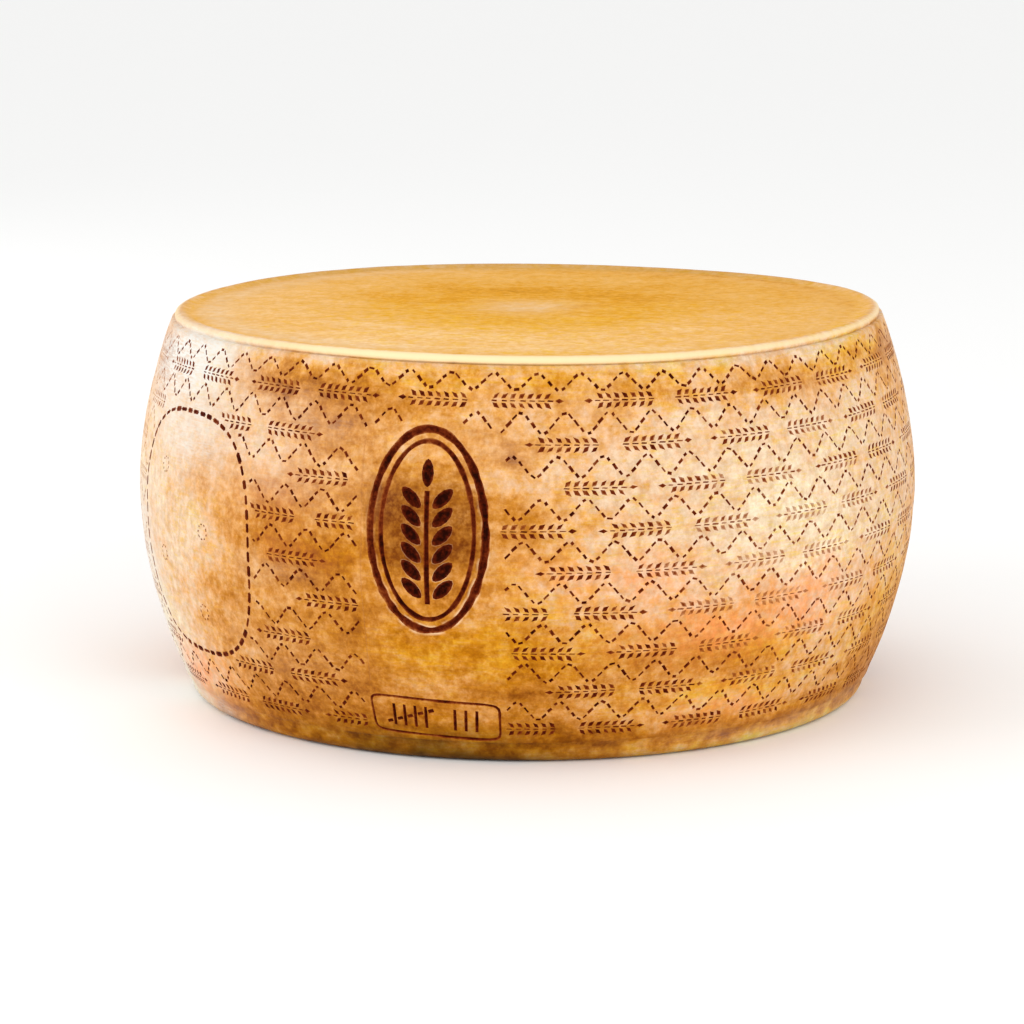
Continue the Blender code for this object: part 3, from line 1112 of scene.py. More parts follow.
    # Painted shade: in the groove just inside the lip, and in a line along the rim's back.
    groove_shade: tuple[float, float] = (186.0, 5.0)
    rear_shade_line: tuple[float, float] = (189.0, 6.0)
    haze_ring: tuple[float, float] = (179.0, 15.0)
    top_toast: float = 0.49
    top_lean: tuple[float, float, float] = (0.14, 0.07, 0.04)
    even_toast: float = 0.37
    low_toast: float = 0.34
    collar_toast: float = 0.25
    foot_toast: float = 0.08
    dark_toast: float = 0.80
    foot_honey: float = 0.72
    collar_honey: float = 0.06
    most_honey: float = 0.85
    collar_up: float = 200.5
    collar_half: float = 8.5
    foot_up: float = 26.0
    # Stretch of the front where the foot takes the most painted shade.
    shaded_front: Sector = Sector(257.0, 23.0, 1.1)

    def side(self, along: np.ndarray, up: np.ndarray) -> Tones:
        """Tones of points on the side.

        Toast is an even tone, darker low down, in the collar under the lip and at the foot, and
        held back where it is darkest. Patches and clouds come on top of every tone.

        Args:
            along: places round the wheel.
            up: heights.

        Returns:
            Tone name to one value for each point.
        """
        turn, level = self.drifted(along, up)
        low = soft_step((125.0 - up) / 85.0)
        collar = hump(level, self.collar_up, self.collar_half)
        foot = soft_step((self.foot_up - level) / 16.0)
        toast = self.even_toast + self.low_toast * low
        toast = toast + self.collar_toast * collar + self.foot_toast * foot
        toast = toast + self.summed(self.toast_patches, turn, level)
        toast = toast + heaped(self.toast_clouds, along, up)
        toast = toast - 0.4 * np.clip(toast - self.dark_toast, 0.0, None)
        honey = self.foot_honey * foot + self.collar_honey * collar
        honey = honey + self.summed(self.honey_patches, turn, level)
        honey = np.minimum(honey, self.most_honey) + heaped(self.honey_clouds, along, up)
        blush = self.summed(self.blush_patches, turn, level)
        blush = blush * (0.85 + heaped(self.blush_clouds, along, up))
        bloom = self.summed(self.bloom_and_glare_patches, turn, level)
        bloom = bloom * (0.92 + heaped(self.bloom_and_glare_clouds, along, up))
        # Painted shade low on the side, most in front, with smudges of grime in it.
        smudge = np.clip(0.5 + heaped(self.smudges, along, up), 0.0, 1.3)
        front = self.shaded_front.weight(turn)
        shade = 0.03 + 0.30 * front + (0.06 + 0.14 * front) * smudge
        shade = shade * soft_step((self.foot_up - level) / 13.0)
        tones = {"toast": toast, "honey": honey, "blush": blush, "bloom": bloom, "shade": shade}
        return {name: np.clip(tone, 0.0, 1.0) for name, tone in tones.items()}

    def drifted(self, along: np.ndarray, up: np.ndarray) -> tuple[np.ndarray, np.ndarray]:
        """Angle and height of points moved a few mm by clouds, which frays the patches' edges."""
        moved = along + heaped(self.sideways, along, up)
        return FORM.turn(moved), up + heaped(self.upwards, along, up)

    @staticmethod
    def summed(rows: tuple[Patch, ...], turn: np.ndarray, up: np.ndarray) -> np.ndarray:
        """Sum of the patches' weights at each point."""
        return sum(patch.weight(turn, up) for patch in rows)

    def top(self, x: np.ndarray, y: np.ndarray) -> Tones:
        """Tones of points on the top face: pale middle, amber ring, peach outside.

        Toast and honey also lean across the face, by top_lean at 150 mm along y, x and |x|. A
        line of painted groove shade and a pale haze run round just inside the lip, and a line of
        painted shade darkens the back of the rim.

        Args:
            x: first coordinates.
            y: second coordinates.

        Returns:
            Tone name to one value for each point.
        """
        far = np.hypot(x, y)
        ring, middle = hump(far, *self.amber_ring), hump(far, *self.pale_middle)
        edge, outer = soft_step((far - 150.0) / 42.0), soft_step(far / 130.0)
        back, right, sides = self.top_lean
        toast = self.top_toast + 0.23 * ring * (1.0 + 0.5 * y / 60.0) + 0.04 * middle + 0.07 * edge
        toast = toast + (back * y + right * x + sides * np.abs(x)) / 150.0 * outer
        # Painted shade in the groove inside the lip and along the back of the rim.
        toast = toast + 0.08 * hump(far, *self.groove_shade)
        toast = toast + 0.16 * hump(far, *self.rear_shade_line) * soft_step(y / 120.0)
        toast = toast + heaped(self.top_clouds, x + 600.0, y, self.top_period)
        honey = 0.62 * ring - 0.10 - 0.22 * outer * y / 150.0
        haze = hump(far, *self.haze_ring) * (0.06 + 0.14 * soft_step((20.0 - x) / 150.0))
        return {"toast": toast, "gold": 1.0, "honey": honey, "bloom": 0.22 * middle + haze}


TONES = RindTones()


# ---------------------------------------------------------------------------------------------
# The rind's mesh
# ---------------------------------------------------------------------------------------------


@dataclass
class MeshParts:
    """Growing lists of the rind's points, faces and attribute values."""

    points: list[np.ndarray] = field(default_factory=list)
    tones: dict[str, list[np.ndarray]] = field(default_factory=dict)
    triangles: list[np.ndarray] = field(default_factory=list)
    corner_inks: list[np.ndarray] = field(default_factory=list)
    sharp: list[np.ndarray] = field(default_factory=list)
    count: int = 0

    NAMES = ("toast", "gold", "honey", "blush", "bloom", "lip", "burr", "shade", "char")

    def add_points(self, points: np.ndarray, **tones: np.ndarray | float) -> int:
        """Add points in mm with their tones, and give the first one's number.

        Args:
            points: points as (n, 3).
            tones: tone name to values; a tone that isn't given is 0.

        Returns:
            The first new point's number.
        """
        start = self.count
        self.points.append(points)
        for name in self.NAMES:
            values = np.broadcast_to(tones.get(name, 0.0), len(points)).astype(float)
            self.tones.setdefault(name, []).append(values)
        self.count += len(points)
        return start

    def add_triangles(self, triangles: np.ndarray, inks: np.ndarray | None = None) -> None:
        """Add triangles as rows of point numbers, with an ink for each corner."""
        self.triangles.append(triangles)
        self.corner_inks.append(np.zeros(triangles.shape) if inks is None else inks)

    def add_ring_band(self, low: np.ndarray, high: np.ndarray) -> None:
        """Join two closed rings of points with triangles that face away from the axis.

        Args:
            low: point numbers of the first ring, anticlockwise from above.
            high: point numbers of the ring over it, at the same angles.
        """
        low_next, high_next = np.roll(low, -1), np.roll(high, -1)
        first = np.stack([low, low_next, high_next], 1)
        second = np.stack([low, high_next, high], 1)
        self.add_triangles(np.concatenate([first, second]))


@dataclass
class RindSide:
    """The side: a sheet with all its marks, triangulated flat and wrapped round the wheel."""

    low: float = 12.0
    high: float = 210.8
    spacing: float = 4.6
    jitter: float = 0.16
    columns: int = 300
    seed: int = 7
    form: WheelForm = FORM
    mark: BurntMark = BurntMark()
    box: TallyBox = TallyBox()
    panel: StitchedPanel = StitchedPanel()
    band: BandPrint = BandPrint()
    seam: BandSeam = BandSeam()
    dash_fade: float = 0.26
    grain_fade: float = 0.5
    fade_drift: tuple[Cloud, ...] = (Cloud(38.0, 1.0, 0.5, 31),)
    faint_right: Patch = Patch(311.0, 104.0, 23.0, 66.0, 0.90)
    faint_left: Patch = Patch(190.0, 150.0, 13.0, 90.0, 0.48)
    edge_margin: float = 3.0
    foot_margin: float = 1.4
    lip_margin: float = 1.2
    aisle_low: float = 30.0
    most_lost: float = 0.6
    char_fray: tuple[Cloud, ...] = (Cloud(9.0, 1.0, 1.0, 34),)
    char_flecks: tuple[Cloud, ...] = (Cloud(3.4, 1.0, 1.0, 35),)
    char_up: float = 4.0
    char_half_tall: float = 23.0
    browned_round: float = 0.24
    browned_across: float = 0.22
    burr_breaks: tuple[Cloud, ...] = (Cloud(3.4, 1.0, 0.9, 33),)
    least_burr: float = 0.12
    fill_cell: float = 0.5
    fill_reach: float = 1.95
    dents: tuple[Cloud, ...] = (
        Cloud(60.0, 1.0, 0.40, 41),
        Cloud(17.0, 1.5, 0.16, 42),
        Cloud(7.0, 1.0, 0.07, 43),
    )
    ledge: float = 0.5

    def clear_of_features(self, marks: Pricks) -> Pricks:
        """Drop the band's marks that would run into a feature, the seam or the sheet's edges.

        Args:
            marks: the band's marks.

        Returns:
            Those that stay.
        """
        x, y = marks.centre.T
        reach = marks.half_length + self.edge_margin
        keep = (x > reach) & (x < self.form.length - reach)
        keep &= (y > self.low + self.foot_margin) & (y < self.high - self.lip_margin)
        return marks.kept(keep & ~self.covered(marks.centre))

    def covered(self, points: np.ndarray) -> np.ndarray:
        """Whether points lie on the burnt mark, in the aisle under it, or on the box or panel.

        Args:
            points: places on the plane.

        Returns:
            One truth value for each point.
        """
        x, y = points.T
        taken = self.mark.covers(points) | self.box.covers(points) | self.panel.covers(points)
        aisle = np.abs(x - self.mark.centre[0]) < self.mark.half_width + self.mark.clear
        return taken | (aisle & (y < self.mark.up + self.mark.half_tall) & (y > self.aisle_low))

    def sheet(self) -> Sheet:
        """Lay out every mark on the unrolled plane.

        Returns:
            The sheet.
        """
        rng = np.random.default_rng(self.seed)
        sheet = Sheet()
        stems, grains = self.band.sprig_rows(rng, self.covered)
        dashes = self.clear_of_features(joined(self.band.waves(rng) + stems))
        grains = self.clear_of_features(joined(grains))
        self.fade(dashes, self.dash_fade)
        self.fade(grains, self.grain_fade)
        for marks in (dashes, grains, *self.panel.pricks(rng)):
            sheet.add_pricks(marks)
        self.mark.add_to(sheet)
        self.box.add_to(sheet)
        self.seam.add_to(sheet, self.mark)
        LOG.info("marks: %d dashes, %d grains", len(dashes.ink), len(grains.ink))
        return sheet

    def fade(self, marks: Pricks, most: float) -> None:
        """Fade marks where the real print is faint: in slow drifts, at lower right and far left.

        Args:
            marks: the marks, changed in place.
            most: the most that a mark loses to the drifts and at the right.
        """
        x, y = marks.centre.T
        turn = self.form.turn(x)
        drift = 0.30 * (0.5 + heaped(self.fade_drift, x, y))
        lost = most * np.clip(drift + self.faint_right.weight(turn, y), 0.0, 1.0)
        marks.ink *= 1.0 - np.clip(lost + self.faint_left.weight(turn, y), 0.0, self.most_lost)

    def filler(self, taken: np.ndarray, rng: np.random.Generator) -> np.ndarray:
        """Points of a jittered triangular lattice, left out near the marks' own points.

        Args:
            taken: the marks' points.
            rng: source of the jitter.

        Returns:
            Points as (n, 2).
        """
        rows = int((self.high - self.low) / (self.spacing * math.sqrt(0.75)))
        columns = int(self.form.length / self.spacing)
        j, i = np.meshgrid(np.arange(1, rows), np.arange(columns), indexing="ij")
        x = (i + 0.5 + 0.5 * (j % 2)) * self.form.length / columns
        y = self.low + j * (self.high - self.low) / rows
        points = np.stack([x.ravel(), y.ravel()], 1)
        points += rng.uniform(-self.jitter, self.jitter, points.shape) * self.spacing
        points = points[(points[:, 0] > 2.0) & (points[:, 0] < self.form.length - 2.0)]

        cell, reach = self.fill_cell, self.fill_reach
        shape = (int(self.form.length / cell) + 8, int((self.high + 10.0) / cell) + 8)
        full = np.zeros(shape, dtype=bool)
        steps = int(reach / cell)
        home = (taken / cell).astype(int)
        for dx in range(-steps, steps + 1):
            for dy in range(-steps, steps + 1):
                if math.hypot(dx, dy) * cell <= reach:
                    column = np.clip(home[:, 0] + dx, 0, shape[0] - 1)
                    full[column, np.clip(home[:, 1] + dy, 0, shape[1] - 1)] = True
        spot = (points / cell).astype(int)
        return points[~full[spot[:, 0], spot[:, 1]]]

    def relief(self, along: np.ndarray, up: np.ndarray) -> np.ndarray:
        """Low relief of the side, in mm: slow dents, small rumples and the mould band's ledge.

        Args:
            along: places round the wheel.
            up: heights.

        Returns:
            How far each point stands off the even side.
        """
        edges = soft_step((up - self.low) / 12.0) * soft_step((self.high - up) / 8.0)
        ledge = self.ledge * (1.0 - soft_step((up - self.low) / 3.0))
        return heaped(self.dents, along, up) * edges + ledge

    def build(self, parts: MeshParts) -> tuple[np.ndarray, np.ndarray]:
        """Triangulate the sheet, wrap it and add it.

        Args:
            parts: the mesh that takes the side.

        Returns:
            Point numbers of its lower and its upper edge.
        """
        sheet = self.sheet()
        rng = np.random.default_rng(self.seed + 1)
        sheet.add(self.filler(np.concatenate(sheet.points), rng))
        n = self.columns
        x = np.linspace(0.0, self.form.length, n + 1)
        up = np.linspace(self.low, self.high, round((self.high - self.low) / self.spacing) + 1)[1:-1]
        edges = ((0.0 * up, up), (0.0 * up + self.form.length, up))
        edges += ((x, 0.0 * x + self.low), (x, 0.0 * x + self.high))
        left, right, bottom, top = [sheet.add(np.stack(edge, 1)) for edge in edges]

        given = np.concatenate(sheet.points)
        found = geometry.delaunay_2d_cdt(given.tolist(), [], sheet.cells, 0, 1e-5, True)
        flat, triangles = np.array(found[0]), np.array(found[2])
        source = np.array([ids[0] if ids else -1 for ids in found[3]])
        known = source >= 0
        if not known.all():
            LOG.warning("marks meet at %s", flat[~known].round(1).tolist())
        place = np.zeros(len(given), dtype=int)
        place[source[known]] = np.flatnonzero(known)
        cell_of = np.array([ids[0] if ids else -1 for ids in found[5]])
        in_pit = np.append(np.array(sheet.pit_cells), False)[cell_of]
        lifts, inks, burrs = (
            np.where(known, np.concatenate(rows)[source], 0.0)
            for rows in (sheet.lifts, sheet.inks, sheet.burrs)
        )
        corner_inks = inks[triangles] * in_pit[:, None]

        same, rise = np.arange(len(flat)), np.arange(len(up))
        same[place[right + rise]] = place[left + rise]
        same[place[bottom + n]] = place[bottom]
        same[place[top + n]] = place[top]
        triangles = same[triangles]

        along, height = flat.T
        tones = TONES.side(along, height)
        browned, tones["char"] = self.scorch(flat)
        tones["toast"] = tones["toast"] + browned
        # Pale burr, partly a painted glint of light on the raised edges.
        tones["burr"] = burrs * self.burr_and_glint_share(flat)
        points = self.form.wrap(along, height, lifts + self.relief(along, height))
        start = parts.add_points(points, **tones)
        parts.add_triangles(triangles + start, corner_inks)
        parts.sharp.append(self.rim_edges(triangles, in_pit) + start)
        ring = np.arange(n)
        LOG.info("side: %d points, %d triangles", len(flat), len(triangles))
        return start + place[bottom + ring], start + place[top + ring]

    def scorch(self, flat: np.ndarray) -> tuple[np.ndarray, np.ndarray]:
        """How far the hot iron browned and charred the rind round the burnt mark.

        The browning is a soft oval a little larger than the mark; the char is a frayed band
        across the mark's middle, where the iron was held longest.

        Args:
            flat: points on the plane.

        Returns:
            What to add to toast, and the char, for each point.
        """
        x, y = (flat - self.mark.centre).T
        wide, tall = self.mark.half_width, self.mark.half_tall
        near = hump((x / (1.15 * wide)) ** 2 + (y / (1.1 * tall)) ** 2, 0.0, 1.0)
        fray, fleck = heaped(self.char_fray, *flat.T), heaped(self.char_flecks, *flat.T)
        across = hump(y + 3.0 * fray, self.char_up, self.char_half_tall, 6.0)
        across = across * hump(x + 1.5 * fray, 0.0, wide, 8.0)
        char = across * np.clip(0.48 + 0.14 * fray + 0.18 * fleck, 0.0, 1.0)
        return self.browned_round * near + self.browned_across * across, char

    def burr_and_glint_share(self, flat: np.ndarray) -> np.ndarray:
        """How much of the burnt mark's pale burr shows: little, but much at its lower right.

        Args:
            flat: points on the plane.

        Returns:
            A share for each point.
        """
        x, y = (flat - self.mark.centre).T
        slant = 0.35 * x / self.mark.half_width - 0.9 * y / self.mark.half_tall
        broken = np.clip(0.5 + heaped(self.burr_breaks, *flat.T), 0.0, 1.0)
        # The pale burr is partly a painted glint of light, strongest at the lower right.
        lower_right = soft_step(0.15 + 0.75 * slant)
        return (self.least_burr + (1.0 - self.least_burr) * lower_right) * broken

    @staticmethod
    def rim_edges(triangles: np.ndarray, in_pit: np.ndarray) -> np.ndarray:
        """Edges where a pit's triangle meets one outside.

        Args:
            triangles: rows of point numbers.
            in_pit: whether each triangle is in a pit.

        Returns:
            Sorted pairs of point numbers.
        """
        pairs = np.sort(triangles[:, [[0, 1], [1, 2], [2, 0]]].reshape(-1, 2), axis=1)
        keys, index = np.unique(pairs[:, 0] * KEY_STEP + pairs[:, 1], return_inverse=True)
        pits = np.bincount(index, weights=np.repeat(in_pit, 3), minlength=len(keys))
        rims = keys[(pits > 0) & (pits < np.bincount(index, minlength=len(keys)))]
        return np.stack([rims // KEY_STEP, rims % KEY_STEP], 1)


@dataclass
class RindRings:
    """The rounded lip over the side, and the ledge and rounded foot under it."""

    form: WheelForm = FORM
    lip_profile: tuple[tuple[float, float], ...] = (
        (-0.95, -4.45), (-0.15, -4.05), (0.05, -3.3), (-0.05, -2.2), (-0.55, -1.15), (-1.7, -0.35),
        (-3.2, 0.0), (-4.7, -0.06), (-6.3, -0.40), (-7.9, -0.95), (-9.6, -1.3),
    )
    lip_wobble: tuple[Cloud, ...] = (Cloud(26.0, 0.0, 1.0, 51),)
    wobble_out: float = 0.14
    wobble_up: float = 0.12
    lip_notch: Sector = Sector(259.0, 0.9)
    notch_depth: float = 0.5
    # Painted shade under the lip's front; behind_shade is painted shade along its back, outside
    # lip_before.
    lip_under_shade: Sector = Sector(268.0, 24.0, 0.3)
    # Where the lip is painted with the glare of the light at the left, and is rounder.
    lip_glare: Sector = Sector(205.0, 24.0, 0.6)
    lip_before: Sector = Sector(270.0, 128.0, 1.0, 8.0)
    behind_shade: float = 0.34
    # The lip's pale band holds its own cream and a painted highlight along the crest.
    pale_front: Sector = Sector(266.0, 34.0)
    pale_right: Sector = Sector(330.0, 40.0)
    ledge_heights: tuple[float, ...] = (11.3, 9.6, 8.2)
    foot_round: float = 6.8
    foot_steps: int = 5
    under_inset: float = 16.0
    # The lit far left loses its painted shade, and painted light from the floor lightens the bottom edge
    # at the right.
    lit_foot: Sector = Sector(188.0, 17.0, 0.8)
    floor_lit_foot: Sector = Sector(318.0, 30.0, 0.48)
    foot_streaks: tuple[Cloud, ...] = (Cloud(9.0, 1.8, 0.16, 28), Cloud(4.5, 1.4, 0.14, 29))

    def along(self, turn: np.ndarray) -> np.ndarray:
        """Places on the unrolled plane of the rings' angles."""
        return (turn - math.radians(self.form.seam_angle)) * self.form.belly_radius

    def ring(
        self,
        parts: MeshParts,
        radius: np.ndarray | float,
        up: np.ndarray | float,
        turn: np.ndarray,
        tones: Tones,
    ) -> np.ndarray:
        """Add one ring of points and give their numbers.

        Args:
            parts: the mesh that takes them.
            radius: radius of the even form.
            up: height of the even form.
            turn: angles, in radians.
            tones: the points' tones.

        Returns:
            Point numbers.
        """
        points = self.form.uneven(turn, radius + 0.0 * turn, up + 0.0 * turn)
        return parts.add_points(points, **tones) + np.arange(len(turn))

    def paleness(self, turn: np.ndarray, place: float) -> np.ndarray:
        """How pale the lip is: a soft band exp(-d^4) on its rings, widest at the front.

        Args:
            turn: angles in radians.
            place: the ring's number, from the side to the top face.

        Returns:
            A paleness from 0 to 1 for each angle.
        """
        # The band is the lip's cream with a painted highlight on the crest, wider at the front.
        front, right = self.pale_front.weight(turn), self.pale_right.weight(turn)
        half = 1.35 + 1.65 * front - 0.1 * right
        return (1.0 - 0.3 * right) * hump(place + 0.6 * front, 4.0, half, 4.0)

    def build_lip(self, parts: MeshParts, edge: np.ndarray, turn: np.ndarray) -> np.ndarray:
        """Add the lip from the side's upper edge to the top face.

        It wobbles a little, has a small notch over the burnt mark, takes painted shade behind and
        under its front, and at the left is rounder and painted white with the glare of the light there.

        Args:
            parts: the mesh that takes it.
            edge: point numbers of the side's upper edge.
            turn: angles of the rings' points, in radians.

        Returns:
            Point numbers of the top face's edge.
        """
        along = self.along(turn)
        wobble = heaped(self.lip_wobble, along, along)
        notch, frost_and_glare = self.lip_notch.weight(turn), self.lip_glare.weight(turn)
        under = self.lip_under_shade.weight(turn)
        behind = self.behind_shade * (1.0 - self.lip_before.weight(turn))
        for number, (inward, down) in enumerate(self.lip_profile):
            share = number / (len(self.lip_profile) - 1)
            step = inward if number else inward * (1.0 - 1.2 * frost_and_glare)
            radius = self.form.lip_radius + step + self.wobble_out * wobble
            radius = radius - self.notch_depth * notch * (1.0 - share)
            up = self.form.height + down + self.wobble_up * wobble * share
            tones = TONES.side(along, np.full(len(turn), 208.0 + 0.3 * number))
            tones["toast"] = tones["toast"] * (1.0 - share) + 0.5 * share + 0.3 * notch
            # At the left, painted glare takes the place of the lip's cream.
            tones["lip"] = self.paleness(turn, number) * (1.0 - frost_and_glare)
            tones["bloom"] = np.maximum(tones["bloom"], frost_and_glare) * (1.0 - share)
            tones["gold"] = soft_step((share - 0.45) / 0.4)
            # Painted shade: under the front on the lowest ring, along the back on the others.
            tones["shade"] = behind * soft_step(share / 0.6) if number else under
            high = self.ring(parts, radius, up, turn, tones)
            parts.add_ring_band(edge, high)
            edge = high
        return edge

    def build_foot(self, parts: MeshParts, edge: np.ndarray, turn: np.ndarray) -> np.ndarray:
        """Add the ledge, the foot band and the rounded foot edge, down to the underside.

        The foot takes painted shade, most in front and towards its base edge, and none at the far
        left where it is lit; light from the floor is painted on its bottom edge at the right.

        Args:
            parts: the mesh that takes them.
            edge: point numbers of the side's lower edge.
            turn: angles of the rings' points, in radians.

        Returns:
            Point numbers of the underside's edge.
        """
        along = self.along(turn)
        rounding = self.foot_round
        foot = float(self.form.side_radius(rounding))
        profile = [(float(self.form.side_radius(up)), up) for up in self.ledge_heights]
        arc = np.radians(np.linspace(0.0, -90.0, self.foot_steps + 1))
        profile += [(foot - rounding * (1.0 - math.cos(a)), rounding * (1.0 + math.sin(a))) for a in arc]
        profile.append((foot - rounding - self.under_inset, 0.0))
        lit, floor_lit = self.lit_foot.weight(turn), self.floor_lit_foot.weight(turn)
        front = TONES.shaded_front.weight(turn)
        for radius, up in profile:
            place = np.full(len(turn), up)
            tones = TONES.side(along, place)
            # Painted shade: most in front and towards the base edge.
            shade = 0.02 + 0.26 * front + soft_step((9.0 - up) / 9.0) * (0.10 + 0.30 * front)
            tones["shade"] = (tones["shade"] + shade) * (1.0 - lit)
            # Painted light from the floor on the bottom edge at the right.
            floor_light = floor_lit * soft_step((8.0 - up) / 6.0)
            toast = tones["toast"] - floor_light + heaped(self.foot_streaks, along, place)
            tones["toast"] = np.clip(toast, 0.0, 1.0)
            low = self.ring(parts, radius, up, turn, tones)
            parts.add_ring_band(low, edge)
            edge = low
        return edge


@dataclass
class RindFace:
    """A round face, triangulated from its edge ring and a jittered lattice inside it."""

    spacing: float
    seed: int
    upward: bool
    jitter: float = 0.2

    def build(
        self,
        parts: MeshParts,
        edge: np.ndarray,
        rim: np.ndarray,
        surface: Callable[[np.ndarray, np.ndarray], tuple[np.ndarray, Tones]],
    ) -> None:
        """Fill a ring with triangles.

        Args:
            parts: the mesh that takes the face.
            edge: point numbers of the ring.
            rim: the ring's points in space, as (n, 3).
            surface: function from x and y to points in space and their tones.
        """
        radius = float(np.hypot(rim[:, 0], rim[:, 1]).min())
        steps = int(radius / self.spacing) + 1
        j, i = np.meshgrid(np.arange(-steps, steps + 1), np.arange(-steps, steps + 1))
        x, y = (i + 0.5 * (j % 2)) * self.spacing, j * self.spacing * math.sqrt(0.75)
        points = np.stack([x.ravel(), y.ravel()], 1)
        rng = np.random.default_rng(self.seed)
        points += rng.uniform(-self.jitter, self.jitter, points.shape) * self.spacing
        points = points[np.hypot(*points.T) < radius - 0.55 * self.spacing]

        placed, tones = surface(*points.T)
        start = parts.add_points(placed, **tones)
        flat = np.concatenate([rim[:, :2], points])
        triangles = np.array(geometry.delaunay_2d_cdt(flat.tolist(), [], [], 0, 1e-5, True)[2])
        numbers = np.concatenate([edge, start + np.arange(len(points))])
        parts.add_triangles(numbers[triangles if self.upward else triangles[:, ::-1]])


@dataclass
class Rind:
    """The whole rind: side, lip, foot, top and underside in one closed mesh."""

    side: RindSide = field(default_factory=RindSide)
    rings: RindRings = field(default_factory=RindRings)
    top: RindFace = field(default_factory=lambda: RindFace(4.8, 61, True))
    under: RindFace = field(default_factory=lambda: RindFace(13.0, 62, False))
    parts: MeshParts = field(default_factory=MeshParts)
    face_period: float = 1200.0
    top_relief: tuple[Cloud, ...] = (Cloud(48.0, 1.0, 0.32, 71), Cloud(15.0, 1.0, 0.10, 72))
    top_sink: float = 1.3
    dimple_depth: float = 0.7
    dimple_radius: float = 10.0
    under_clouds: tuple[Cloud, ...] = (Cloud(40.0, 1.0, 0.10, 81),)

    def top_surface(self, x: np.ndarray, y: np.ndarray) -> tuple[np.ndarray, Tones]:
        """The top face: sunk under the lip, gently uneven, with a dimple in the middle.

        Args:
            x: first coordinates.
            y: second coordinates.

        Returns:
            Points in space and their tones.
        """
        far, turn = np.hypot(x, y), np.arctan2(y, x)
        relief = heaped(self.top_relief, x + 600.0, y, self.face_period)
        relief = relief * soft_step((186.0 - far) / 22.0)
        dimple = self.dimple_depth * (1.0 - soft_step((far - self.dimple_radius) / 6.0))
        up = FORM.height - self.top_sink + relief - dimple
        return FORM.uneven(turn, far, up), TONES.top(x, y)

    def under_surface(self, x: np.ndarray, y: np.ndarray) -> tuple[np.ndarray, Tones]:
        """The underside: points flat on the ground, and tones of an even browned look."""
        toast = 0.55 + heaped(self.under_clouds, x + 600.0, y, self.face_period)
        # A quarter of the shade tone gives the underside a little painted shade.
        return np.stack([x, y, 0.0 * x], 1), {"toast": toast, "shade": 0.25}

    def build(self) -> bpy.types.Object:
        """Build the mesh and its attributes.

        Returns:
            The rind's object, in metres.
        """
        parts = self.parts
        low, high = self.side.build(parts)
        turn = FORM.turn(np.arange(self.side.columns) / self.side.columns * FORM.length)
        top_edge = self.rings.build_lip(parts, high, turn)
        foot_edge = self.rings.build_foot(parts, low, turn)
        points = np.concatenate(parts.points)
        self.top.build(parts, top_edge, points[top_edge], self.top_surface)
        self.under.build(parts, foot_edge, points[foot_edge], self.under_surface)
        return self.mesh_object()

    def mesh_object(self) -> bpy.types.Object:
        """Put the collected arrays into a mesh, centred on the frame's own box.

        Returns:
            The object.
        """
        parts = self.parts
        points, triangles = np.concatenate(parts.points), np.concatenate(parts.triangles)
        used = np.unique(triangles)
        number = np.full(len(points), -1)
        number[used] = np.arange(len(used))
        points = points[used]
        cad_low, cad_high = (np.array(corner) / MM for corner in CAD_BOX)
        shift = 0.5 * (cad_low + cad_high) - 0.5 * (points.min(0) + points.max(0))
        shift[2] = cad_low[2] - points[:, 2].min()

        mesh = bpy.data.meshes.new("rind")
        mesh.from_pydata(((points + shift) * MM).tolist(), [], number[triangles].tolist())
        mesh.update(calc_edges=True)
        layers = [(name, "POINT", np.concatenate(parts.tones[name])[used]) for name in parts.NAMES]
        layers.append(("ink", "CORNER", np.concatenate(parts.corner_inks).ravel()))
        for name, domain, values in layers:
            layer = mesh.attributes.new(name, "FLOAT", domain)
            layer.data.foreach_set("value", values.astype(np.float32))
        mesh.shade_smooth()
        self.mark_sharp(mesh, number)
        if mesh.validate():
            LOG.warning("the rind's mesh needed mending")
        LOG.info("rind: %d triangles", len(mesh.polygons))
        rind = bpy.data.objects.new("rind", mesh)
        bpy.context.scene.collection.objects.link(rind)
        return rind

    def mark_sharp(self, mesh: bpy.types.Mesh, number: np.ndarray) -> None:
        """Mark the pits' rims sharp, so that the rind between them shades smoothly.

        Args:
            mesh: the rind's mesh.
            number: new number of each collected point.
        """
        ends = np.empty(2 * len(mesh.edges), dtype=np.int64)
        mesh.edges.foreach_get("vertices", ends)
        edges, rims = (
            np.sort(pairs, axis=1) @ (KEY_STEP, 1)
            for pairs in (ends.reshape(-1, 2), number[np.concatenate(self.parts.sharp)])
        )
        layer = mesh.attributes.new("sharp_edge", "BOOLEAN", "EDGE")
        layer.data.foreach_set("value", np.isin(edges, rims))


# ---------------------------------------------------------------------------------------------
# Finish
# ---------------------------------------------------------------------------------------------


class Blend(Enum):
    """How a coat's colour joins the colour under it."""

    OVER = "MIX"
    TINT = "MULTIPLY"


@dataclass(frozen=True)
class Noise:
    """One noise of the rind: size in mm, octaves, roughness, and whether the band drew it out."""

    name: str
    size: float
    detail: float
    rough: float
    drawn: bool = False


@dataclass(frozen=True)
class Spread:
    """A value spread from one range to another and held inside it, times another if one is named."""

    name: str
    source: str
    ranges: tuple[float, float, float, float]
    times: str = ""


@dataclass(frozen=True)
class Coat:
    """One colour laid over those under it: by which value, up to how much, and how they join."""

    weight: str
    colour: str
    most: float = 1.0
    blend: Blend = Blend.OVER


Values = dict[str, bpy.types.NodeSocket]
Stops = tuple[tuple[float, str], ...]
Swings = tuple[tuple[str, float], ...]


